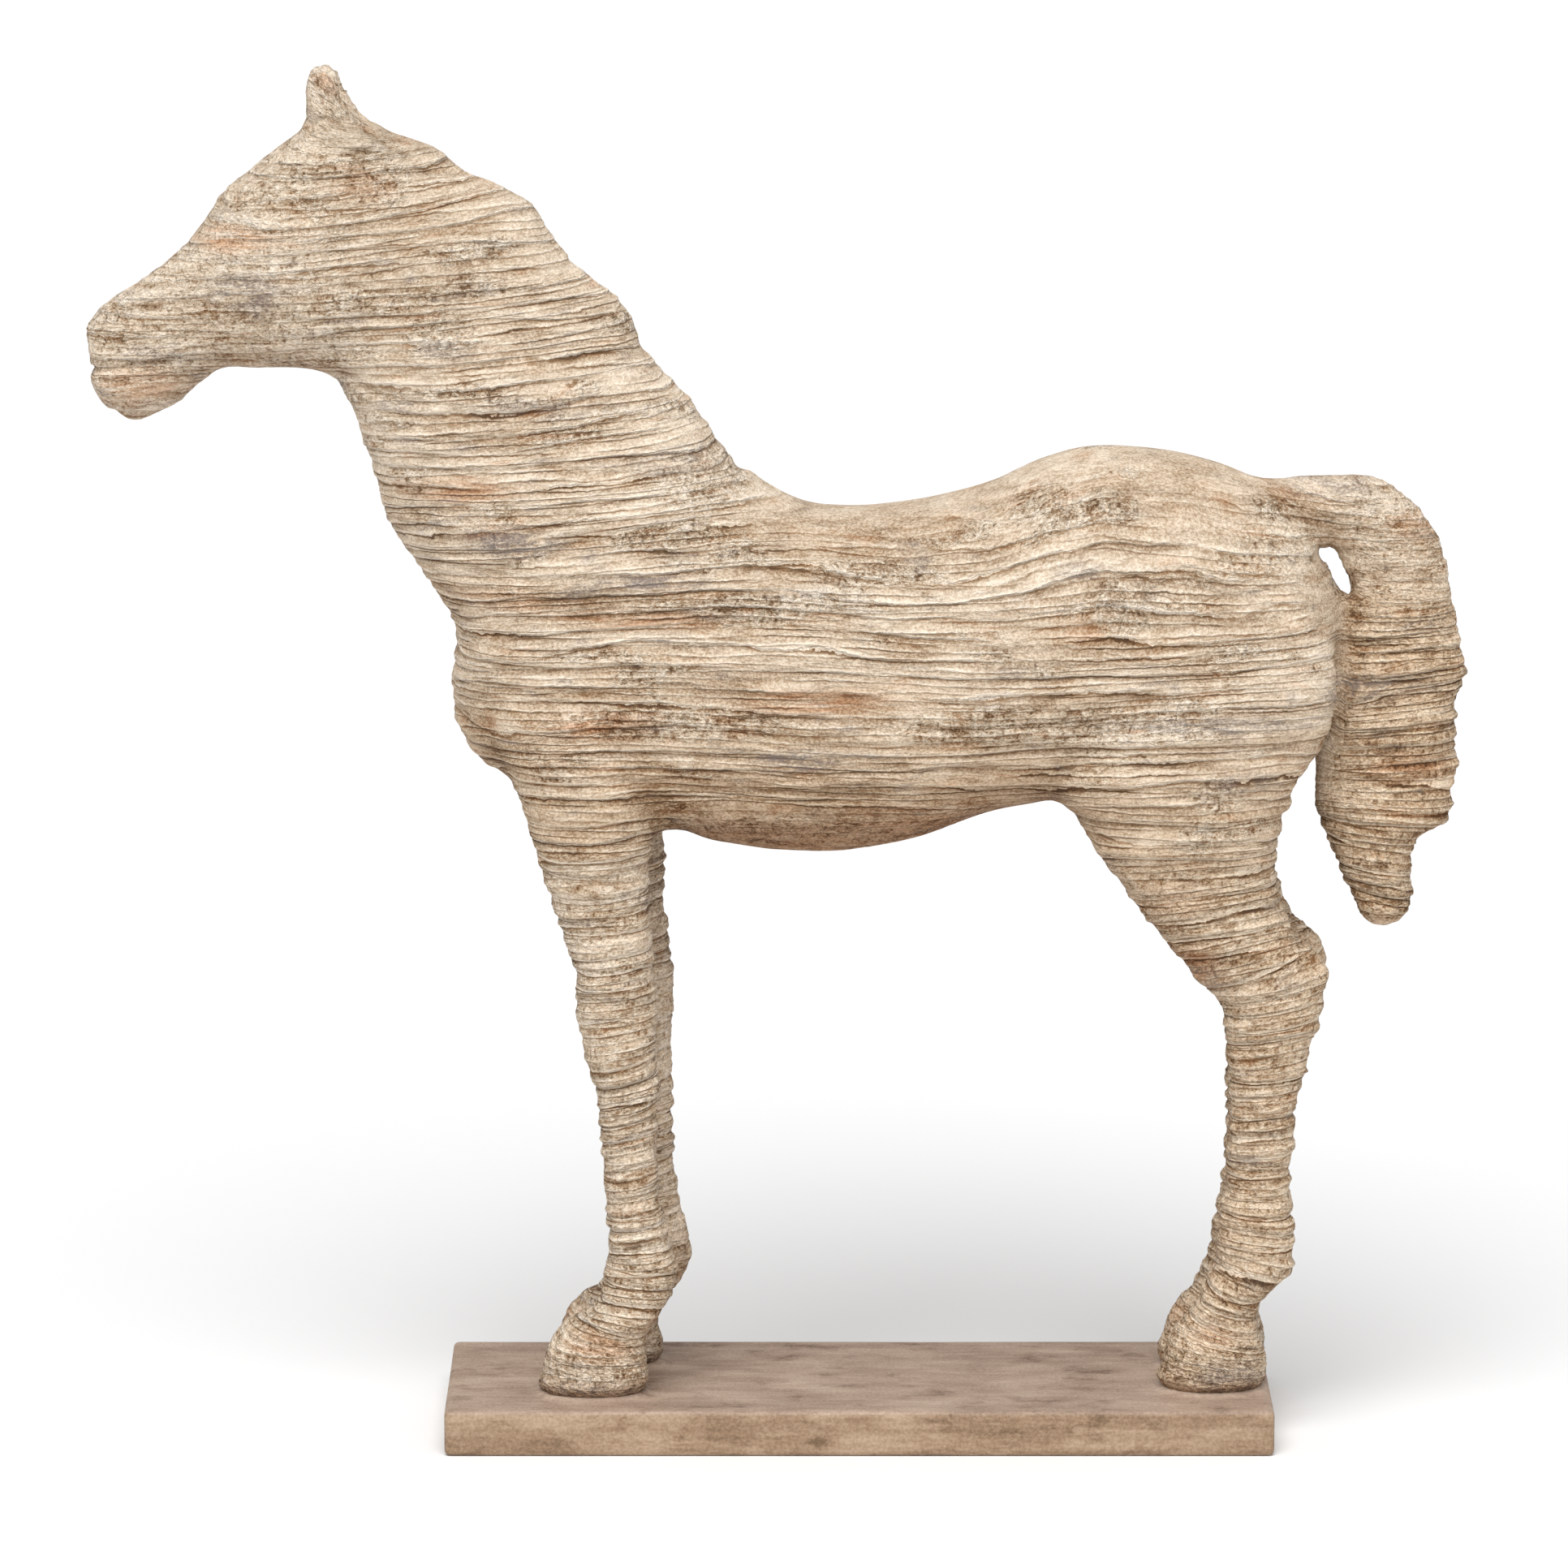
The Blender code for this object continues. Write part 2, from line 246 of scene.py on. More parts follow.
# areas of the body with soft borders in mm: where each begins and where it is complete
areas = dict(
    legs=dict(z=[(214, 190)]),
    hooves=dict(z=[(44, 30)]),
    aboveFeet=dict(z=[(15.5, 20)]),
    soles=dict(z=[(24, 17)]),
    belly=dict(x=[(-66, -50), (84, 62)], z=[(222, 204)]),
    back=dict(x=[(-50, -10), (165, 140)], z=[(285, 312)]),
    head=dict(x=[(-150, -180)], z=[(325, 345)]),
    throat=dict(x=[(-110, -150)], z=[(335, 350)]),
    chin=dict(x=[(-200, -215)], z=[(346, 338)]),
    crown=dict(z=[(425, 440)]),
    ears=dict(z=[(432, 448)]),
    tailTop=dict(z=[(268, 282)]),
    tailRibs=dict(z=[(262, 245)]),
    valley=dict(z=[(210, 225), (312, 300)]),
    # where the layers follow the back, the breast and the ear, and where they wave
    leanBack=dict(x=[(-28, 12), (178, 130)], z=[(262, 325)]),
    leanBreast=dict(x=[(-10, -80)], z=[(235, 300)]),
    leanEar=dict(z=[(428, 446)]),
    waves=dict(z=[(200, 230)]),
    # where it darkens towards the bottom, where painted shade goes under the body, and where the grain runs
    # over the top
    darkerDownLegs=dict(z=[(265, 200)]),
    darkerDownTail=dict(z=[(310, 265)]),
    underShadeHeights=dict(z=[(310, 270)]),
    topGrain=dict(z=[(230, 260)]),
)
limbs = dict(                # in mm
    foreLegEnd=-30.0,
    hindLeg=(30.0, 158.0),
    tailBottom=166.0,
    tailBorder=5.0,
    tailFront=((165, 146), (205, 149), (225, 152), (250, 158), (285, 158)),        # z, then x of its front
    valleyLine=((205, 152), (225, 154), (250, 160), (285, 158)),       # the same between rump and tail
    valleyWidth=7.0,
)

# slope of the layers, which rise to the right where it is positive, by height in mm
slopes = dict(
    foreleg=((15, 0.0), (30, -0.05), (40, -0.22), (50, -0.10), (62, 0.08), (80, 0.14), (100, 0.22),
             (125, 0.24), (150, 0.14), (190, 0.08), (215, 0.0)),
    hindleg=((15, -0.05), (28, -0.20), (42, -0.36), (55, -0.30), (70, -0.10), (90, 0.02), (115, 0.07),
             (140, 0.17), (165, 0.20), (190, 0.12), (215, 0.0)),
    tail=((160, -0.16), (185, -0.20), (205, -0.12), (222, 0.02), (235, 0.12), (252, 0.14), (275, 0.05),
          (300, -0.05)),
    breast=0.05,
    ear=-0.75,
)
# x of the middle of each of them, in mm, by height
middles = dict(
    foreleg=((15, -89), (30, -86), (41, -83), (50, -76), (60, -73), (85, -76), (115, -77), (150, -81),
             (190, -88)),
    hindleg=((15, 117), (30, 118), (41, 120), (50, 124), (57, 130), (68, 132), (110, 134), (140, 137),
             (157, 131), (172, 119), (190, 112), (215, 106)),
    tail=((160, 175), (190, 172), (230, 175), (260, 178), (300, 178)),
    breast=-75.0,
    ear=-176.0,
)
lean = dict(
    # x, then z of the back: the layers follow this line by a share, from its lowest height
    backLine=((-60, 336), (-43, 325), (-20, 313), (-8, 311), (14, 312), (42, 318), (61, 327), (79, 332),
              (107, 329), (126, 323), (143, 320), (165, 321)),
    backShare=0.75,
    backLow=311.0,
    waveHeight=1.6,
)

# single forms seen on the near side: x, z, half length, half height and height in mm
lumps = ((-156, 425, 7, 4, 1.6), (-165, 426, 4, 3, -0.8), (-35, 323, 4, 2.5, 1.4), (199, 257, 5, 2.2, 1.8),
         (198, 226, 5, 2.6, 1.6), (196, 213, 5, 5, -1.2), (141, 216, 3, 2.2, 1.4), (-80, 155, 10, 6, 0.8),
         (-57, 52, 7, 6, 1.0), (-198, 410, 6, 4, 1.0), (-245, 352, 7, 4, 0.8), (-255, 364, 5, 5, -1.2),
         # the crest, with its steps
         (-144, 429, 6, 2.5, 0.8), (-130, 424, 9, 4, -1.8), (-102, 405, 8, 6, -2.2), (-70, 366, 8, 7, -2.4),
         (-62, 356, 6, 5, -1.2), (-86, 390, 5, 3, 1.0), (-216, 405, 6, 4, -0.6), (-39, 325, 4, 3, -0.8),
         # the ear, the brow and the cheek
         (-172, 437, 9, 2.2, 0.8), (-151, 439, 6, 5, -1.6), (-181, 431, 8, 3, 0.7), (-176, 420, 10, 2.6, 0.8),
         (-166, 449, 4, 5, 0.8), (-191, 421, 7, 3, 0.6), (-206, 398, 8, 4, 0.7), (-214, 378, 10, 4, -0.6),
         (-186, 372, 14, 6, 0.7), (-172, 349, 12, 5, 0.8), (-238, 342, 6, 3, 1.4), (-220, 401, 4, 4, -1.0),
         (-212, 416, 4, 4, 1.3), (-182, 451, 4, 6, 1.5), (-176, 457, 6, 4, 1.0),
         # breast, belly, rump and tail
         (-134, 270, 6, 8, -1.8), (-156, 309, 7, 8, 1.4), (-9, 197, 26, 8, 1.5), (-59, 202, 6, 6, -1.6),
         (165, 321, 8, 5, 1.8), (176, 319, 7, 4, 1.3), (185, 199, 6, 4, -0.6), (140, 208, 5, 7, 1.4),
         (171, 172, 6, 5, 1.4), (67, 211, 8, 6, -1.6), (147, 224, 5, 5, -0.9), (199, 244, 4, 6, -2.4),
         (197, 235, 4, 5, -1.2),
         # knees, hocks and pasterns
         (-100, 34, 7, 8, 1.4), (-96, 158, 5, 8, -1.6), (-88, 112, 4, 7, -1.3), (-64, 179, 5, 7, -1.3),
         (148, 174, 8, 11, -2.6), (153, 137, 5, 7, 1.5), (119, 146, 5, 7, -1.4), (110, 49, 8, 13, -3.0),
         (-65, 32, 6, 8, -3.0), (-91, 47, 7, 6, -2.4), (137, 25, 6, 8, 1.8), (147, 112, 4, 5, -1.0),
         (145, 99, 5, 5, 1.4), (140, 72, 6, 4, 0.8), (-63, 147, 6, 9, 1.7), (-85, 69, 4, 5, -1.3),
         (118, 111, 5, 7, -1.2), (138, 41, 5, 7, -1.4), (155, 158, 5, 5, 1.4), (147, 172, 5, 5, -0.9))

# the slot between rump and tail, in mm
slot = dict(
    middle=(157.7, 290.2),
    run=(0.44, -0.898),      # the way it runs
    half=(8.6, 2.3),         # half its length and half its width
    corner=2.6,              # 2 would make it oval, more makes it squarer
    hole=(158.6, 292.2),     # a point inside the hole that the smoothed skin leaves of it
    reach=16.0,              # how far round it the skin is drawn along
    finer=((145.0, 170.0), (272.0, 308.0)),            # window of x and z with finer faces
    # the layers end in an oval round it: where they begin to fade and are gone, its stretch and its drop
    calm=(14.0, 9.0),
    calmStretch=1.3,
    calmDrop=2.0,
)

# creases seen on the near side: half width and depth in mm, then the x and z of the points along each
creases = ((1.5, 1.7, (-258, 357.5), (-226, 361.9)),                                  # mouth
           (0.9, 0.5, (-175.4, 454.4), (-172.5, 453.4), (-170.6, 452.0)),              # folds of the ear
           (1.0, 0.8, (-173.1, 450.7), (-169.9, 448.6), (-166.8, 445.4), (-164.0, 441.5), (-160.0, 438.0)),
           (1.0, 0.9, (-178.9, 439.9), (-176.5, 441.5), (-173.5, 442.0), (-170.3, 441.4), (-169.0, 438.5)),
           (1.1, 0.9, (-160.7, 437.8), (-154.9, 433.6), (-148.9, 430.1), (-140.7, 423.6)),
           (1.2, 1.3, (-164.5, 431.5), (-158.8, 431.3)),                               # holes under the ear
           (1.2, 1.2, (-162.8, 428.6), (-161.0, 425.0)),
           (1.3, 0.8, (-212, 411.0), (-203.5, 414.5), (-192.9, 415.6)),                # brow
           (1.3, 0.8, (-168, 388.5), (-156.0, 385.8), (-140.0, 386.9)),                # cheek
           (1.4, 1.0, (-170, 358.0), (-156.2, 351.4), (-141.0, 349.2)),                # throat
           (1.2, 0.9, (-243, 377.8), (-235.0, 381.0), (-229.2, 380.0)),                # nostril
           (1.2, 0.9, (-247, 343.5), (-236.0, 345.5), (-226.0, 349.0)))                # chin


def curve(table, values):
    return np.interp(values, *zip(*table))


def softStep(values, low, high):
    t = np.clip((values - low) / (high - low), 0.0, 1.0)
    return t * t * (3.0 - 2.0 * t)


def wrappedMesh(name, mesh, voxel, passes):
    # a closed even skin over a mesh, smoothed
    holder = placed(name, mesh)
    skin = holder.modifiers.new("skin", "REMESH")
    skin.mode = "VOXEL"
    skin.voxel_size = voxel
    soften = holder.modifiers.new("soften", "SMOOTH")
    soften.factor = 0.5
    soften.iterations = passes
    return plainResult(holder)


def mergedCopy(node):
    # a CAD node is loose triangles: its copy is joined up
    work = bmesh.new()
    work.from_mesh(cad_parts[node].data)
    bmesh.ops.remove_doubles(work, verts=work.verts, dist=0.001 * mm)
    mesh = bpy.data.meshes.new(node + "Copy")
    work.to_mesh(mesh)
    work.free()
    return mesh


def readPlaces(mesh):
    flat = np.empty(len(mesh.vertices) * 3)
    mesh.vertices.foreach_get("co", flat)
    return flat.reshape(-1, 3)


def readNormals(mesh):
    flat = np.empty(len(mesh.vertices) * 3)
    mesh.vertex_normals.foreach_get("vector", flat)
    return flat.reshape(-1, 3)


def writePlaces(mesh, places):
    mesh.vertices.foreach_set("co", places.ravel())
    mesh.update()


def keepValues(mesh, name, values):
    kind = "FLOAT" if values.ndim == 1 else "FLOAT_VECTOR"
    layer = mesh.attributes.get(name) or mesh.attributes.new(name, kind, "POINT")
    layer.data.foreach_set("value" if kind == "FLOAT" else "vector", values.ravel())


def relaxed(mesh, values, passes):
    # values at the points, averaged with their neighbours again and again
    ends = np.empty(len(mesh.edges) * 2, dtype=np.int64)
    mesh.edges.foreach_get("vertices", ends)
    first, second = ends.reshape(-1, 2).T
    count = len(mesh.vertices)
    neighbours = np.bincount(first, minlength=count) + np.bincount(second, minlength=count)
    columns = [column.copy() for column in np.atleast_2d(values.T)]
    for _ in range(passes):
        for i, column in enumerate(columns):
            gathered = (np.bincount(first, weights=column[second], minlength=count)
                        + np.bincount(second, weights=column[first], minlength=count))
            columns[i] = 0.5 * column + 0.5 * gathered / neighbours
    return np.array(columns).T if values.ndim > 1 else columns[0]


def within(name, x, z):
    # how much each point, in mm, lies inside the soft borders of an area
    inside = np.ones(len(x))
    for values, borders in ((x, areas[name].get("x", ())), (z, areas[name].get("z", ()))):
        for begins, complete in borders:
            inside *= softStep(values, begins, complete)
    return inside


def bodyRegions(x, z):
    # how much each point, in mm, belongs to a foreleg, a hind leg and the tail
    legs = within("legs", x, z)
    front = curve(limbs["tailFront"], z)
    tail = softStep(x, front, front + limbs["tailBorder"]) * (z > limbs["tailBottom"])
    hindStart, hindEnd = limbs["hindLeg"]
    hind = legs * (x > hindStart) * (x < hindEnd) * (1.0 - tail)
    return legs * (x < limbs["foreLegEnd"]), hind, tail


def layerPlaces(x, y, z):
    # the layers lean on the legs and the tail and follow the line of the back
    up = z.copy()
    for name, share in zip(("foreleg", "hindleg", "tail"), bodyRegions(x, z)):
        up -= share * curve(slopes[name], z) * (x - curve(middles[name], z))
    up -= within("leanBack", x, z) * lean["backShare"] * (curve(lean["backLine"], x) - lean["backLow"])
    up -= within("leanBreast", x, z) * slopes["breast"] * (x - middles["breast"])
    up -= within("leanEar", x, z) * slopes["ear"] * (x - middles["ear"])
    up += lean["waveHeight"] * np.sin(x / 37.0 + 0.9 * np.sin(z / 29.0)) * within("waves", x, z)
    return np.column_stack((x, y, up))


patina = dict(
    farShift=17.0,           # mm, the far side has the same spots moved along, so that the two sides differ
    # places seen on the near side, in mm: x, z, half length, half height, strength
    rust=((-205, 403, 13, 4, 1.0), (-160, 420, 10, 4, 0.6), (-235, 354, 15, 6, 0.7), (-132, 321, 21, 3.5, 0.9),
          (-122, 308, 11, 3, 0.5), (-72, 281, 26, 3, 0.9), (-16, 254, 25, 4, 1.0), (-85, 246, 18, 5, 0.9),
          (-114, 286, 22, 4, 0.4), (16, 211, 32, 7, 0.6), (183, 306, 9, 5, 0.6), (181, 226, 13, 5, 0.8),
          (111, 162, 7, 8, 0.9), (-87, 33, 10, 6, 0.7), (119, 36, 7, 4, 0.7), (-173, 455, 5, 7, 0.6),
          (-20, 205, 40, 8, 0.4), (104, 186, 12, 6, 0.3)),
    smoke=((-200, 386, 13, 6, 0.9), (-136, 367, 10, 3, 0.7), (-108, 348, 17, 4, 0.5), (-63, 331, 14, 4, 0.6),
           (-113, 305, 15, 5, 1.0), (-69, 293, 19, 2.4, 1.0), (-21, 234, 14, 4, 1.0), (71, 297, 9, 3, 0.7),
           (117, 246, 30, 3, 0.9), (169, 253, 19, 4.5, 1.0), (125, 226, 10, 5, 0.7), (113, 157, 16, 4, 0.6),
           (-89, 18, 17, 4, 0.9), (125, 20, 14, 7, 0.9), (155, 319, 17, 4, 0.6), (-230, 364, 12, 4, 0.5)),
    # broad painted shade, and painted light where the strength is below zero
    shade=((-92, 287, 16, 9, 1.2), (-112, 246, 16, 10, 1.0), (-122, 262, 18, 26, 0.6), (-95, 210, 30, 12, 0.7),
           (2, 246, 18, 7, 0.8), (50, 206, 30, 9, 0.9), (105, 214, 22, 12, 0.7), (100, 328, 60, 7, 0.9),
           (188, 288, 10, 18, 1.0), (190, 215, 10, 22, 0.9), (-40, 262, 18, 12, 0.6), (-122, 306, 20, 10, 0.5),
           (-112, 369, 28, 8, 0.7), (-173, 369, 16, 8, -1.1), (70, 238, 20, 10, -1.0), (84, 264, 14, 6, -0.7),
           (-112, 328, 12, 6, -0.7), (172, 266, 12, 7, -1.0), (-12, 205, 26, 8, -0.6), (0, 287, 34, 8, -0.6)),
    # where the casting is crumbly and flaked
    crumble=((5, 295, 22, 4, 0.9), (-62, 247, 37, 6, 1.0), (64, 245, 54, 7, 0.9), (-157, 423, 10, 11, 0.8),
             (-138, 373, 12, 8, 0.8), (-53, 324, 16, 9, 0.8), (-29, 209, 41, 6, 0.9), (117, 222, 8, 7, 0.8),
             (-204, 408, 11, 7, 0.7), (62, 316, 12, 7, 0.7), (-231, 362, 12, 7, 0.8), (135, 302, 18, 9, 0.4)),
    crumbleShares=dict(hooves=0.80, legs=0.40, tail=0.40, belly=0.80, head=0.38),
    # how often the skin is smoothed to tell its hollows from its ridges, and the share of each result
    hollowPasses=((3, 0.6), (14, 0.55), (50, 0.30)),
    worn=(0.05, 0.40),       # mm that a ridge stands out where it begins to be rubbed and where it is bare
    hollow=(0.04, 0.55),     # mm that a hollow lies in where it begins to darken and where it is dark
    upwardPasses=12,         # how often the normals are smoothed to tell tops from undersides
    # a brown wash on the belly, the soles and the chin, and painted shade on undersides and on the inner faces
    # of the legs
    brownAndUnderShade=dict(belly=1.0, undersides=0.5, soles=0.8, innerFace=0.10, chin=0.5),
    # how much darker towards the bottom of the legs and the tail, and how much painted shade under the body
    lowerDarkAndUnderShade=dict(all=0.2, hindLegs=0.5, tail=0.9, undersides=0.6),
)


def refined(mesh, *windows):
    # finer faces inside each window of x and z, given in mm
    work = bmesh.new()
    work.from_mesh(mesh)
    chosen = []
    for edge in work.edges:
        for (left, right), (bottom, top) in windows:
            if all(left < point.co.x / mm < right and bottom < point.co.z / mm < top for point in edge.verts):
                chosen.append(edge)
                break
    bmesh.ops.subdivide_edges(work, edges=chosen, cuts=1, use_grid_fill=True, smooth=0.0)
    work.to_mesh(mesh)
    work.free()
    mesh.update()


def slotOpened(x, y, z, viewRise):
    # draws the hole out to the slot, along the photograph's line of sight
    holeX, holeZ = slot["hole"]
    runX, runZ = slot["run"]
    level = z + viewRise * y
    away = np.maximum(np.hypot(x - holeX, level - holeZ), 1e-6)
    wayX, wayZ = (x - holeX) / away, (level - holeZ) / away
    lengthwise = np.abs(wayX * runX + wayZ * runZ)
    crosswise = np.abs(wayZ * runX - wayX * runZ)
    # the rim of the hole is the nearest of the skin's points each way
    around = np.arctan2(wayZ, wayX)
    angles = np.linspace(-math.pi, math.pi, 25)[:-1]
    nearest = [away[np.cos(around - angle) > 0.985].min() for angle in angles]
    oldRim = np.interp(around, angles, nearest, period=2.0 * math.pi)
    corner = slot["corner"]
    newRim = (lengthwise / slot["half"][0]) ** corner + (crosswise / slot["half"][1]) ** corner
    newRim **= -1 / corner
    share = 1.0 - softStep(away, oldRim, slot["reach"])
    grown = away + (newRim - oldRim) * share
    return (holeX + (slot["middle"][0] - holeX) * share + wayX * grown,
            z + (slot["middle"][1] - holeZ) * share + wayZ * (grown - away))


def lineDistance(points, x, z):
    # distance in mm from a line through the points, seen from the side
    nearest = np.full(len(x), 1e3)
    for (startX, startZ), (endX, endZ) in zip(points[:-1], points[1:]):
        spanX, spanZ = endX - startX, endZ - startZ
        share = np.clip(((x - startX) * spanX + (z - startZ) * spanZ) / (spanX ** 2 + spanZ ** 2), 0.0, 1.0)
        nearest = np.minimum(nearest, np.hypot(x - startX - share * spanX, z - startZ - share * spanZ))
    return nearest


def spots(table, x, y, z):
    value = np.zeros(len(x))
    for spotX, spotZ, halfLength, halfHeight, strength in table:
        shift = np.where(y > 0.0, patina["farShift"] * np.sin(spotX * 0.9 + spotZ), 0.0)
        away = np.hypot((x - spotX - shift) / halfLength, (z - spotZ) / halfHeight)
        value = np.maximum(value, strength * softStep(away, 1.5, 0.35))
    return value


def shadeOf(x, z):
    return sum(strength * np.exp(-((x - spotX) / halfLength) ** 2 - ((z - spotZ) / halfHeight) ** 2)
               for spotX, spotZ, halfLength, halfHeight, strength in patina["shade"])


skinMesh = wrappedMesh("firstSkin", mergedCopy("horse"), horse["smoothVoxel"], horse["smoothPasses"])
skinMesh.transform(Matrix.Diagonal((1.0, 1.0, horse["layerStretch"], 1.0)))
skinMesh = wrappedMesh("fineSkin", skinMesh, horse["fineVoxel"], horse["finePasses"])
skinMesh.transform(Matrix.Diagonal((1.0, 1.0, 1.0 / horse["layerStretch"], 1.0)))
refined(skinMesh, slot["finer"], horse["finerEar"])
print("horse skin:", len(skinMesh.polygons), "faces")

x, y, z = (readPlaces(skinMesh) / mm).T
x, z = slotOpened(x, y, z, math.tan(math.radians(photoView["elevation"])))
places = np.column_stack((x, y, z)) * mm
writePlaces(skinMesh, places)
normals = readNormals(skinMesh)
fore, hind, tail = bodyRegions(x, z)
legs = np.maximum(fore, hind)
inwards = -np.sign(y) * normals[:, 1]
regions = dict(
    legs=legs,
    tail=tail,
    crown=within("crown", x, z),
    belly=within("belly", x, z),
    innerFace=legs * softStep(inwards, *horse["inwards"]),
    tailTop=tail * within("tailTop", x, z),
    back=within("back", x, z),
    head=within("head", x, z),
    hooves=legs * within("hooves", x, z),
    throat=within("throat", x, z),
    valley=(np.exp(-((x - curve(limbs["valleyLine"], z)) / limbs["valleyWidth"]) ** 2)
            * within("valley", x, z)),
    slot=softStep(np.hypot((x - slot["middle"][0]) / slot["calmStretch"],
                           z + slot["calmDrop"] - slot["middle"][1]), *slot["calm"]),
)
# the layers show on faces that look sideways
layerWeight = softStep(np.hypot(normals[:, 0], normals[:, 1]), *horse["sideways"])
layerWeight *= 1.0 + sum(share * regions[name] for name, share in horse["gains"].items())
layerWeight *= within("aboveFeet", x, z)
for name, share in horse["losses"].items():
    layerWeight *= 1.0 - share * regions[name]
crumble = spots(patina["crumble"], x, y, z)
for name, share in patina["crumbleShares"].items():
    crumble = np.maximum(crumble, share * regions[name])
keepValues(skinMesh, "calm", regions["slot"])
keepValues(skinMesh, "place", layerPlaces(x, y, z))
keepValues(skinMesh, "layerWeight", layerWeight)
keepValues(skinMesh, "crumble", crumble)
keepValues(skinMesh, "rounded", np.maximum(legs, horse["tailRibs"] * tail * within("tailRibs", x, z)))
standOut = np.full(len(x), horse["swell"] / mm)
for lumpX, lumpZ, halfLength, halfHeight, height in lumps:
    standOut += height * np.exp(-((x - lumpX) / halfLength) ** 2 - ((z - lumpZ) / halfHeight) ** 2)
for halfWidth, depth, *points in creases:
    cut = depth * np.exp(-(lineDistance(points, x, z) / halfWidth) ** 2)
    standOut -= cut * np.where(y > 2.0, horse["farCreases"], 1.0)
writePlaces(skinMesh, places + normals * standOut[:, None] * mm)


relief = dict(
    depths=dict(ledge=0.90, layer=0.60, leaf=0.28),    # mm
    lumpHeight=0.85,
    crumbHeight=0.80,
    flakeHeight=0.55,
    upShare=0.35,            # the relief stands out sideways more than upwards
    # sizes in mm along, across and up, for a grain with its detail and roughness
    lumpSize=(30.0, 26.0, 15.0),
    flakeSize=(9.0, 9.0, 3.0),
    cloudGrain=(46.0, 46.0, 13.0, 3.0, 0.55),
    patchGrain=(40.0, 40.0, 12.0, 2.0, 0.55),
    patchNoise=(0.52, 0.68),     # the noise between which a crumbly patch begins and is complete
)


def reliefTree():
    tree = bpy.data.node_groups.new("layerRelief", "GeometryNodeTree")
    face = tree.interface
    face.new_socket("Geometry", in_out="OUTPUT", socket_type="NodeSocketGeometry")
    face.new_socket("Geometry", in_out="INPUT", socket_type="NodeSocketGeometry")
    names = [family[0] for family in layers["families"]]
    for name in [n + " height" for n in names] + [n + " depth" for n in names] + [
            "Lump height", "Crumb height", "Flake height", "Seed"]:
        face.new_socket(name, in_out="INPUT", socket_type="NodeSocketFloat")
    face.new_socket("Finish", in_out="INPUT", socket_type="NodeSocketMaterial")
    given = tree.nodes.new("NodeGroupInput").outputs

    def kept(name, kind):
        return wire(tree, "GeometryNodeInputNamedAttribute", {"Name": name}, data_type=kind)

    shift = wire(tree, "ShaderNodeCombineXYZ", {0: product(tree, given["Seed"], 37.7),
                                                1: product(tree, given["Seed"], 11.3)})
    place = wire(tree, "ShaderNodeVectorMath", {0: kept("place", "FLOAT_VECTOR"), 1: shift}, operation="ADD")
    split = tree.nodes.new("ShaderNodeSeparateXYZ")
    tree.links.new(place, split.inputs[0])
    along, across, up = split.outputs
    weight = kept("layerWeight", "FLOAT")
    rounded = kept("rounded", "FLOAT")
    torn = tornNoise(tree, place, rounded)
    clouds = grain(tree, place, *relief["cloudGrain"])
    patches = ease(tree, grain(tree, place, *relief["patchGrain"]), *relief["patchNoise"])
    patches = calc(tree, "MAXIMUM", patches, kept("crumble", "FLOAT"))
    found = [("place", place, "FLOAT_VECTOR"), ("clouds", clouds, "FLOAT"), ("patches", patches, "FLOAT")]
    heights = []
    for index, (name, layerHeight, wander, wanderSize, runSize, rarity) in enumerate(layers["families"]):
        drift = centred(tree, grain(tree, place, *wanderSize))
        level = total(tree, calc(tree, "DIVIDE", up, given[name + " height"]), product(tree, drift, wander))
        spot = wire(tree, "ShaderNodeCombineXYZ", {
            0: calc(tree, "DIVIDE", along, runSize), 1: calc(tree, "DIVIDE", across, runSize),
            2: total(tree, product(tree, level, 0.83), 13.7 * index)})
        run = ease(tree, noise(tree, spot), *rarity)
        run = product(tree, run, total(tree, 1.0, product(tree, rounded, layers["onLegs"][name] - 1.0)))
        if name == "leaf":
            run = calc(tree, "MAXIMUM", run, patches)
        lip = lipProfile(tree, name, level, run, torn, rounded)[0]
        heights.append(product(tree, lip, weight, given[name + " depth"]))
        found += [(name + "Level", level, "FLOAT"), (name + "Run", run, "FLOAT")]
        if name == "layer":
            # the grain of the paint wanders with the layers
            flow = wire(tree, "ShaderNodeCombineXYZ",
                        {0: along, 1: across, 2: product(tree, level, layerHeight)})
            found.append(("flow", flow, "FLOAT_VECTOR"))
    crumbs = centred(tree, grain(tree, place, *layers["crumbGrain"]))
    swelling = centred(tree, grain(tree, place, *relief["lumpSize"]))
    flake = wire(tree, "ShaderNodeSeparateXYZ",
                 {0: cells(tree, stretched(tree, place, *relief["flakeSize"]), output="Color")})
    height = product(tree, calc(tree, "SUBTRACT", 1.0, kept("calm", "FLOAT")), total(
        tree, *heights,
        product(tree, swelling, 2.0, given["Lump height"]),
        product(tree, crumbs, patches, 2.0, given["Crumb height"]),
        product(tree, flake, weight, patches, given["Flake height"])))
    geometry = given["Geometry"]
    for name, value, kind in found:
        geometry = wire(tree, "GeometryNodeStoreNamedAttribute",
                        {"Geometry": geometry, "Name": name, "Value": value}, data_type=kind)
    outwards = wire(tree, "ShaderNodeVectorMath",
                    {0: wire(tree, "GeometryNodeInputNormal"), 1: (mm, mm, mm * relief["upShare"])},
                    operation="MULTIPLY")
    offset = wire(tree, "ShaderNodeVectorMath", {0: outwards, "Scale": height}, operation="SCALE")
    moved = wire(tree, "GeometryNodeSetPosition", {"Geometry": geometry, "Offset": offset})
    solid = wire(tree, "GeometryNodeRealizeInstances", {0: moved})
    finished = wire(tree, "GeometryNodeSetMaterial", {"Geometry": solid, "Material": given["Finish"]})
    tree.links.new(finished, tree.nodes.new("NodeGroupOutput").inputs[0])
    return tree


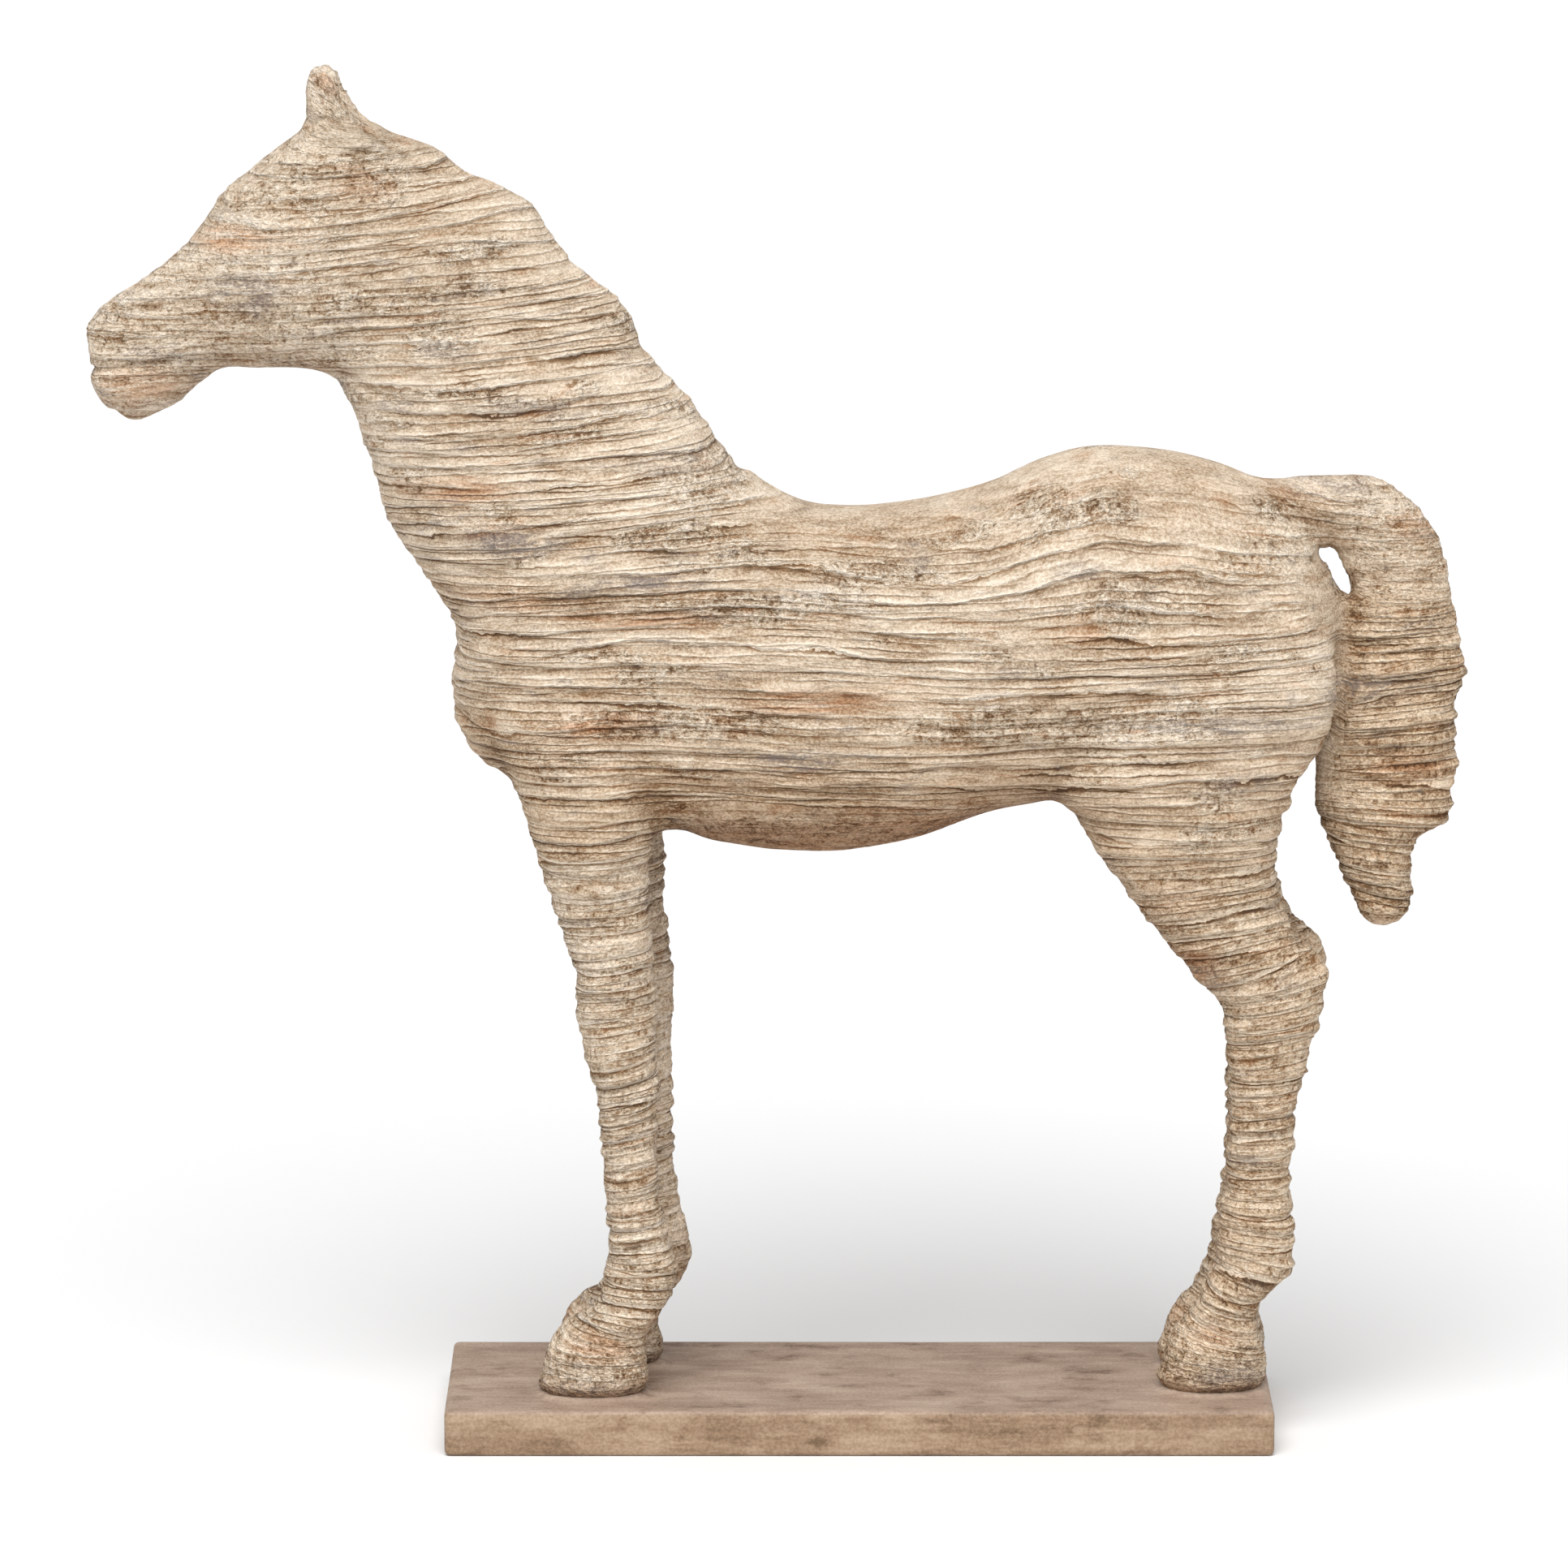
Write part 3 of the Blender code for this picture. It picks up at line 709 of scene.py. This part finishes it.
def shaped(name, mesh, tree, values):
    # the tree's result as a plain mesh
    holder = placed(name, mesh)
    modifier = holder.modifiers.new("relief", "NODES")
    modifier.node_group = tree
    for item in tree.interface.items_tree:
        if item.in_out == "INPUT" and item.name in values:
            modifier[item.identifier] = values[item.name]
    return plainResult(holder)


stone = dict(
    # noises: sizes in mm along, across and up, then detail and roughness
    noises=dict(
        streaks=(24.0, 24.0, 1.4, 3.0, 0.66),
        topStreaks=(20.0, 1.2, 20.0, 3.0, 0.62),       # these run over the top of the back
        mottle=(9.0, 9.0, 1.9, 3.0, 0.68),
        folds=(75.0, 60.0, 8.0, 2.0, 0.50),
        grit=(1.0, 1.0, 0.7, 2.0, 0.80),
        dots=(1.6, 1.6, 0.9, 2.0, 0.60),
        slim=(18.0, 18.0, 2.6, 3.0, 0.60),
        hue=(18.0, 18.0, 4.5, 2.0, 0.65),
    ),
    brick=4.5,               # mm, where a thin layer is broken in blocks
    hairHeight=1.9,          # mm from one hair line to the next
    leafLines=0.90,          # how dark the lines of the leaves are beside the others
    cracks=dict(hairs=0.55, joints=0.50, pits=0.26, specks=0.50),      # and how dark these are
    edges=dict(layer=0.30, leaf=0.22, ledge=0.20),     # how light the lip edges are: rubbed paint with a painted highlight
    darkUnderLip=dict(layer=0.12, leaf=0.08),                  # how much a layer darkens towards the lip above
    gritShare=0.26,
    crumblyGrit=0.14,        # and this much more where the casting is crumbly
    # the tone runs from dark at 0 to light at 1: its middle, and what each part adds
    tone=0.583,
    toneShares=dict(streaks=0.06, slim=0.09, crumbs=0.09, chips=0.14, folds=0.12, bricks=0.24, mottle=0.09,
                    clouds=-0.12, grit=1.0, edges=1.0, darkUnderLip=-1.0, worn=0.12, hollow=-0.14, gaps=-0.60,
                    patches=-0.02, lowerDarkAndUnderShade=-0.09, shade=-0.16),
    # height of the finest relief in mm
    bumpShares=dict(streaks=0.10, folds=5.0, slim=2.2, bricks=0.40, blocks=1.10, hairs=-0.12, crumbs=2.4,
                    chips=0.45, mottle=0.60, grit=0.28, dots=0.45, layer=1.0, leaf=0.42, gaps=-0.30),
    colours=((0.02, (0.105, 0.059, 0.031)), (0.18, (0.200, 0.124, 0.069)), (0.34, (0.310, 0.215, 0.137)),
             (0.50, (0.444, 0.340, 0.240)), (0.66, (0.600, 0.482, 0.360)), (0.82, (0.727, 0.608, 0.480)),
             (0.98, (0.855, 0.745, 0.614))),
    stains=((0.32, (0.92, 0.94, 1.00)), (0.42, (1.0, 0.96, 0.92)), (0.52, (1.0, 0.95, 0.88)),
            (0.64, (1.0, 0.84, 0.68))),
    # colour of each stain and wash over the stone, with its strength where there is a mask: the brown and the
    # lower darkening also hold painted shade under the body
    rust=(0.82, 0.54, 0.37, 1.0),
    rustShare=0.85,
    smoke=(0.215, 0.185, 0.175, 1.0),
    smokeShare=0.85,
    brownAndUnderShade=(0.58, 0.45, 0.35, 1.0),
    brownAndUnderShadeShare=0.90,
    lowerDarkAndUnderShade=(0.98, 0.915, 0.835, 1.0),
    bump=1.0,
    roughness=(0.94, 0.78),  # of the dark parts and of the light ones
    gloss=0.25,
)


def horseFinish():
    made, tree, shader = newFinish("palePolystone")
    place = painted(tree, "place", "Vector")
    flow = painted(tree, "flow", "Vector")
    weight = painted(tree, "layerWeight")
    patches = painted(tree, "patches")
    clouds = painted(tree, "clouds")
    rounded = painted(tree, "rounded")
    topShare = painted(tree, "topShare")
    torn = tornNoise(tree, place, rounded)
    lines = {}
    for family in layers["families"]:
        name = family[0]
        lines[name] = lipProfile(tree, name, painted(tree, name + "Level"), painted(tree, name + "Run"), torn,
                                 rounded)

    streaks = total(tree, product(tree, grain(tree, flow, *stone["noises"]["streaks"]),
                                  calc(tree, "SUBTRACT", 1.0, topShare)),
                    product(tree, grain(tree, place, *stone["noises"]["topStreaks"]), topShare))
    mottle = grain(tree, flow, *stone["noises"]["mottle"])
    folds = grain(tree, flow, *stone["noises"]["folds"])
    grit = grain(tree, place, *stone["noises"]["grit"])
    dots = grain(tree, flow, *stone["noises"]["dots"])
    slim = grain(tree, flow, *stone["noises"]["slim"])
    hue = grain(tree, flow, *stone["noises"]["hue"])
    crumbs = grain(tree, place, *layers["crumbGrain"])
    crackShare = ease(tree, patches, 0.10, 0.50)
    chips = product(tree, ease(tree, crumbs, 0.55, 0.58), crackShare)

    # where it is crumbly a thin layer is broken in blocks, as bricks in a course
    split = tree.nodes.new("ShaderNodeSeparateXYZ")
    tree.links.new(place, split.inputs[0])
    course = total(tree, painted(tree, "leafLevel"), product(tree, torn, layers["torn"]["leaf"]))
    brickPlace = wire(tree, "ShaderNodeCombineXYZ", {
        0: total(tree, product(tree, split.outputs[0], 1 / stone["brick"]), product(tree, torn, 0.9)),
        1: product(tree, split.outputs[1], 1 / stone["brick"]),
        2: product(tree, calc(tree, "FLOOR", course), 3.7)})
    bricks = centred(tree, wire(tree, "ShaderNodeSeparateXYZ", {0: cells(tree, brickPlace, output="Color")}))
    jointAway = cells(tree, brickPlace, "DISTANCE_TO_EDGE")
    blocks = product(tree, ease(tree, jointAway, 0.0, 0.25), total(tree, 0.6, bricks), patches)
    brickShare = total(tree, 0.3, product(tree, patches, 0.7))

    # hair lines between the leaves
    flowSplit = tree.nodes.new("ShaderNodeSeparateXYZ")
    tree.links.new(flow, flowSplit.inputs[0])
    hairStep = calc(tree, "FRACT", total(tree, product(tree, flowSplit.outputs[2], 1 / stone["hairHeight"]),
                                         product(tree, slim, 3.0), product(tree, torn, 0.5)))
    hairRun = ease(tree, mottle, 0.46, 0.56)

    # the dark lines are dotted by the grit, faint where the casting is clean, and dashed where it is crumbly
    soiled = ease(tree, clouds, 0.40, 0.56, 0.35, 1.0)
    dashed = total(tree, 1.0, product(tree, crackShare, ease(tree, mottle, 0.42, 0.52, -0.8, 0.0)))
    broken = product(tree, ease(tree, grit, 0.38, 0.54, 0.30, 1.0), soiled, dashed)
    # the dark lines under the lips are cracks with painted shade in them
    gaps = calc(tree, "MAXIMUM", lines["layer"][1], product(tree, lines["leaf"][1], stone["leafLines"]))
    gaps = product(tree, calc(tree, "MAXIMUM", gaps, lines["ledge"][1]), weight, broken)
    cracks = dict(
        hairs=product(tree, ease(tree, hairStep, 0.74, 0.92), hairRun, weight, broken),
        joints=product(tree, ease(tree, jointAway, 0.10, 0.03), ease(tree, mottle, 0.50, 0.44), crackShare),
        pits=product(tree, ease(tree, crumbs, 0.40, 0.38), crackShare),
        specks=product(tree, ease(tree, dots, 0.66, 0.71), ease(tree, mottle, 0.50, 0.38)),
    )
    for crack in weighted(tree, cracks, stone["cracks"]):
        gaps = calc(tree, "MAXIMUM", gaps, crack)
    # lighter lip edges: rubbed paint with a painted highlight
    edges = total(tree, *(product(tree, lines[name][2], share) for name, share in stone["edges"].items()))
    # each layer darker towards the lip above it
    darkUnderLips = []
    for name, share in stone["darkUnderLip"].items():
        band = ease(tree, lines[name][3], 0.62, 1.0)
        darkUnderLips.append(product(tree, band, painted(tree, name + "Run"), share))

    toneParts = dict(
        streaks=swing(tree, streaks, 0.30, 0.70),
        slim=swing(tree, slim, 0.42, 0.58),
        crumbs=product(tree, swing(tree, crumbs, 0.42, 0.58), brickShare),
        chips=chips,
        folds=swing(tree, folds, 0.34, 0.66),
        bricks=product(tree, bricks, brickShare),
        mottle=swing(tree, mottle, 0.41, 0.59),
        clouds=swing(tree, clouds, 0.30, 0.70),
        grit=product(tree, swing(tree, grit, 0.38, 0.62),
                     total(tree, stone["gritShare"], product(tree, patches, stone["crumblyGrit"]))),
        edges=product(tree, edges, weight),
        darkUnderLip=product(tree, total(tree, *darkUnderLips), weight),
        worn=painted(tree, "worn"),
        hollow=painted(tree, "hollow"),
        gaps=gaps,
        patches=patches,
        lowerDarkAndUnderShade=painted(tree, "lowerDarkAndUnderShade"),
        shade=painted(tree, "shade"),
    )
    tone = total(tree, stone["tone"], *weighted(tree, toneParts, stone["toneShares"]))

    # here and there the wash is warmer or greyer, most of all in the hollows
    colour = colourSteps(tree, tone, stone["colours"])
    stain = colourSteps(tree, hue, stone["stains"])
    colour = mixColour(tree, ease(tree, tone, 0.62, 0.20, 0.15, 1.0), colour, stain, "MULTIPLY")
    rustMask = calc(tree, "MAXIMUM", painted(tree, "rust"), ease(tree, hue, 0.60, 0.74, 0.0, 0.5))
    rustMask = product(tree, rustMask, ease(tree, streaks, 0.62, 0.42, 0.15, 1.0), stone["rustShare"])
    colour = mixColour(tree, rustMask, colour, stone["rust"], "MULTIPLY")
    smokeMask = calc(tree, "MAXIMUM", painted(tree, "smoke"), ease(tree, hue, 0.40, 0.28, 0.0, 0.5))
    smokeMask = product(tree, smokeMask, ease(tree, mottle, 0.60, 0.44, 0.10, 1.0),
                        ease(tree, grit, 0.6, 0.4, 0.5, 1.0), stone["smokeShare"])
    colour = mixColour(tree, smokeMask, colour, stone["smoke"])
    # the brown wash, with the painted shade under the body and between the legs
    brownAndUnderShadeMask = product(tree, painted(tree, "brownAndUnderShade"), stone["brownAndUnderShadeShare"])
    colour = mixColour(tree, brownAndUnderShadeMask, colour, stone["brownAndUnderShade"], "MULTIPLY")
    # darker towards the bottom, with painted shade under the body
    colour = mixColour(tree, painted(tree, "lowerDarkAndUnderShade"), colour, stone["lowerDarkAndUnderShade"], "MULTIPLY")

    bumpParts = dict(
        streaks=centred(tree, streaks),
        folds=product(tree, centred(tree, folds), weight),
        slim=centred(tree, slim),
        bricks=product(tree, bricks, brickShare),
        blocks=blocks,
        hairs=product(tree, hairStep, hairRun),
        crumbs=product(tree, centred(tree, crumbs), brickShare),
        chips=chips,
        mottle=centred(tree, mottle),
        grit=centred(tree, grit),
        dots=centred(tree, dots),
        layer=product(tree, lines["layer"][0], weight),
        leaf=product(tree, lines["leaf"][0], weight),
        gaps=gaps,
    )
    bumpHeight = total(tree, *weighted(tree, bumpParts, stone["bumpShares"]))
    joinFinish(tree, shader, colour, tone, bumpHeight, stone)
    return made


horseMaterial = horseFinish()
reliefSizes = {"Lump height": relief["lumpHeight"], "Crumb height": relief["crumbHeight"],
               "Flake height": relief["flakeHeight"], "Seed": layers["seed"], "Finish": horseMaterial}
for family in layers["families"]:
    reliefSizes[family[0] + " height"] = family[1]
    reliefSizes[family[0] + " depth"] = relief["depths"][family[0]]
skinMesh = shaped("reliefHolder", skinMesh, reliefTree(), reliefSizes)
print("relief cut into the skin")

places = readPlaces(skinMesh)
places[:, 2] = np.maximum(places[:, 2], horse["sole"])
writePlaces(skinMesh, places)
normals = readNormals(skinMesh)
hollow = np.zeros(len(places))
for passes, share in patina["hollowPasses"]:
    hollow += share * ((relaxed(skinMesh, places, passes) - places) * normals).sum(axis=1) / mm
upward = relaxed(skinMesh, normals, patina["upwardPasses"])[:, 2]
x, y, z = (places / mm).T
fore, hind, tail = bodyRegions(x, z)
legs = np.maximum(fore, hind)
# brown wash with painted shade on undersides and on the inner faces of the legs
brownAndUnderShade = np.maximum.reduce((
    patina["brownAndUnderShade"]["belly"] * regions["belly"] * softStep(upward, 0.30, -0.25),
    patina["brownAndUnderShade"]["undersides"] * softStep(upward, -0.25, -0.9),
    patina["brownAndUnderShade"]["soles"] * within("soles", x, z),
    patina["brownAndUnderShade"]["innerFace"] * regions["innerFace"],
    patina["brownAndUnderShade"]["chin"] * within("chin", x, z) * softStep(upward, 0.1, -0.6)))
# darker down the legs and the tail, and painted shade under the body
lowerDarkAndUnderShade = np.maximum(within("darkerDownLegs", x, z) * (patina["lowerDarkAndUnderShade"]["all"] + patina["lowerDarkAndUnderShade"]["hindLegs"] * hind),
                  patina["lowerDarkAndUnderShade"]["tail"] * tail * within("darkerDownTail", x, z))
under = (1.0 - legs) * softStep(upward, 0.15, -0.45) * within("underShadeHeights", x, z)
lowerDarkAndUnderShade += patina["lowerDarkAndUnderShade"]["undersides"] * under
keepValues(skinMesh, "hollow", softStep(hollow, *patina["hollow"]))
# ridges that stand out are lighter where rubbed, and the ears are lighter all over
keepValues(skinMesh, "worn", np.maximum(softStep(-hollow, *patina["worn"]), within("ears", x, z)))
keepValues(skinMesh, "rust", spots(patina["rust"], x, y, z))
keepValues(skinMesh, "smoke", spots(patina["smoke"], x, y, z))
keepValues(skinMesh, "brownAndUnderShade", brownAndUnderShade)
keepValues(skinMesh, "shade", shadeOf(x, z))
keepValues(skinMesh, "lowerDarkAndUnderShade", lowerDarkAndUnderShade)
keepValues(skinMesh, "topShare", softStep(upward, 0.45, 0.85) * within("topGrain", x, z))
skinMesh.name = "horseSkin"
skinMesh.shade_smooth()
horseSkin = placed("horseSkin", skinMesh)
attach(horseSkin, "root")
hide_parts("horse")
print("horse finished:", len(skinMesh.vertices), "points")


# the plinth

plinth = dict(
    grid=1.1 * mm,           # spacing of its points
    edge=2.0 * mm,           # radius of the softened edges
    rimReach=4.5 * mm,       # how far the casting is drawn up round a hoof
    rimHeight=2.0 * mm,
    unevenness=0.16 * mm,
    # noises: sizes in mm along, across and up, then detail and roughness
    noises=dict(
        clouds=(30.0, 14.0, 8.0, 4.0, 0.60),
        streaks=(22.0, 2.4, 2.4, 4.0, 0.66),
        blots=(17.0, 11.0, 7.0, 4.0, 0.62),
        grit=(1.1, 1.1, 1.1, 3.0, 0.70),
    ),
    tone=0.54,
    toneShares=dict(clouds=0.30, streaks=0.16, grit=0.20, blots=-0.30, rim=0.12),
    sidePaintedShade=-0.10,          # painted shade darkens the sides and painted light lightens the top by this much
    topPaintedLight=0.03,
    sideColours=((0.10, (0.160, 0.098, 0.055)), (0.35, (0.285, 0.185, 0.112)), (0.55, (0.385, 0.270, 0.178)),
                 (0.75, (0.480, 0.350, 0.245)), (0.95, (0.600, 0.470, 0.350))),
    topColours=((0.10, (0.150, 0.095, 0.062)), (0.35, (0.265, 0.185, 0.135)), (0.55, (0.350, 0.252, 0.190)),
                (0.75, (0.430, 0.322, 0.246)), (0.95, (0.560, 0.445, 0.345))),
    bumpShares=dict(streaks=0.22, grit=0.12, blots=0.30),              # mm
    bump=0.9,
    roughness=(0.62, 0.52),  # of the dark parts and of the light ones
    gloss=0.35,
)


def plinthMesh():
    low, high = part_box("plinth")
    size = high - low
    work = bmesh.new()
    bmesh.ops.create_cube(work, size=1.0)
    for point in work.verts:
        point.co = Vector(low[i] if point.co[i] < 0 else high[i] for i in range(3))
    for axis in range(3):
        cuts = max(1, round(size[axis] / plinth["grid"]) - 1)
        lines = [line for line in work.edges
                 if abs((line.verts[0].co - line.verts[1].co)[axis]) > 0.5 * size[axis]]
        bmesh.ops.subdivide_edges(work, edges=lines, cuts=cuts, use_grid_fill=True)
    mesh = bpy.data.meshes.new("plinthSkin")
    work.to_mesh(mesh)
    work.free()
    return mesh, low, high


plinthSkinMesh, low, high = plinthMesh()
places = readPlaces(plinthSkinMesh)
inner = np.clip(places, np.array(low) + plinth["edge"], np.array(high) - plinth["edge"])
away = places - inner
reach = np.linalg.norm(away, axis=1, keepdims=True)
places = inner + away * np.where(reach > 0, plinth["edge"] / np.maximum(reach, 1e-9), 0.0)
x, y, z = (places / mm).T
wobble = (np.sin(x / 23.0 + 1.3 * np.sin(y / 17.0)) + 0.6 * np.sin(x / 9.7 + y / 13.0 + 2.0)
          + 0.4 * np.sin(y / 7.3 + z / 5.1))
writePlaces(plinthSkinMesh, places)
normals = readNormals(plinthSkinMesh)
dents = (1.0 + 0.5 * wobble) * 0.5 * plinth["unevenness"]
# the underside stays flat
places = places - normals * dents[:, None] * (z > 2.0)[:, None]
horseFaces = BVHTree.FromPolygons([vertex.co for vertex in skinMesh.vertices],
                                  [tuple(face.vertices) for face in skinMesh.polygons])
# the casting rises in a low rim round each hoof, found from the points of the plinth's top
rim = np.zeros(len(places))
for i in np.where((places[:, 2] > high[2] - 0.6 * mm) & (normals[:, 2] > 0.5))[0]:
    above = Vector((places[i, 0], places[i, 1], high[2] + 0.4 * mm))
    distance = horseFaces.find_nearest(above, plinth["rimReach"])[3]
    if distance is not None:
        rim[i] = 1.0 - min(1.0, distance / plinth["rimReach"])
places[:, 2] += plinth["rimHeight"] * rim ** 2
writePlaces(plinthSkinMesh, places)
keepValues(plinthSkinMesh, "rim", rim)


def plinthFinish():
    made, tree, shader = newFinish("brownPolystone")
    spot = wire(tree, "ShaderNodeVectorMath",
                {0: wire(tree, "ShaderNodeTexCoord", output="Object"), "Scale": 1 / mm}, operation="SCALE")
    clouds, streaks, blots, grit = (grain(tree, spot, *plinth["noises"][name])
                                    for name in ("clouds", "streaks", "blots", "grit"))
    toneParts = dict(
        clouds=swing(tree, clouds, 0.30, 0.70),
        streaks=swing(tree, streaks, 0.28, 0.72),
        grit=swing(tree, grit, 0.34, 0.66),
        blots=ease(tree, blots, 0.52, 0.72),
        rim=ease(tree, painted(tree, "rim"), 0.1, 0.8),
    )
    tone = total(tree, plinth["tone"], *weighted(tree, toneParts, plinth["toneShares"]))
    # painted shade on the sides and painted light on the top, over the two tones of the casting
    sides = colourSteps(tree, total(tree, tone, plinth["sidePaintedShade"]), plinth["sideColours"])
    topSide = colourSteps(tree, total(tree, tone, plinth["topPaintedLight"]), plinth["topColours"])
    upward = wire(tree, "ShaderNodeSeparateXYZ",
                  {0: wire(tree, "ShaderNodeNewGeometry", output="Normal")}, output=2)
    colour = mixColour(tree, ease(tree, upward, 0.3, 0.8), sides, topSide)
    bumpParts = dict(streaks=centred(tree, streaks), grit=centred(tree, grit), blots=centred(tree, blots))
    bumpHeight = total(tree, *weighted(tree, bumpParts, plinth["bumpShares"]))
    joinFinish(tree, shader, colour, tone, bumpHeight, plinth)
    return made


plinthSkinMesh.materials.append(plinthFinish())
plinthSkinMesh.shade_smooth()
plinthSkin = placed("plinthSkin", plinthSkinMesh)
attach(plinthSkin, "root")
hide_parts("plinth")
print("plinth finished:", len(plinthSkinMesh.polygons), "faces")


# the studio

studio = dict(
    floorSize=60.0,
    floorColour=(0.86, 0.86, 0.86, 1.0),
    floorRoughness=0.9,
    skyColour=(1.0, 1.0, 1.0, 1.0),
    skyStrength=0.40,
    sunStrength=3.1,
    sunWidth=50.0,           # degrees, the larger the softer its shadows
    sunFrom=(-0.25, -1.95, 2.9),
    fillStrength=0.22,
    fillWidth=60.0,
    fillFrom=(2.4, -2.2, 1.2),
)


def sun(name, place, strength, width):
    light = bpy.data.lights.new(name, "SUN")
    light.energy = strength
    light.angle = math.radians(width)
    holder = placed(name, light)
    holder.location = place
    holder.rotation_euler = Vector(place).to_track_quat("Z", "Y").to_euler()


sky = bpy.data.worlds.new("studioSky")
sky.use_nodes = True
sky.node_tree.nodes["Background"].inputs["Color"].default_value = studio["skyColour"]
sky.node_tree.nodes["Background"].inputs["Strength"].default_value = studio["skyStrength"]
bpy.context.scene.world = sky
sun("keySun", studio["sunFrom"], studio["sunStrength"], studio["sunWidth"])
sun("fillSun", studio["fillFrom"], studio["fillStrength"], studio["fillWidth"])

half = studio["floorSize"] / 2
floorMesh = bpy.data.meshes.new("studioFloor")
floorMesh.from_pydata([(-half, -half, 0), (half, -half, 0), (half, half, 0), (-half, half, 0)], [],
                      [(0, 1, 2, 3)])
floorPaint, _, floorShader = newFinish("floorPaint")
floorShader.inputs["Base Color"].default_value = studio["floorColour"]
floorShader.inputs["Roughness"].default_value = studio["floorRoughness"]
floorMesh.materials.append(floorPaint)
studioFloor = placed("studioFloor", floorMesh)
bpy.context.scene.view_settings.view_transform = "Standard"

rise = math.radians(photoView["elevation"])
camera = bpy.data.cameras.new("photoCamera")
camera.lens = photoView["lens"]
camera.sensor_width = 36.0
photoCamera = placed("photoCamera", camera)
backwards = Vector((0.0, -math.cos(rise), math.sin(rise)))
photoCamera.location = Vector(photoView["aim"]) + photoView["distance"] * backwards
photoCamera.rotation_euler = (math.pi / 2 - rise, 0.0, 0.0)
bpy.context.scene.camera = photoCamera
print("studio and camera set")
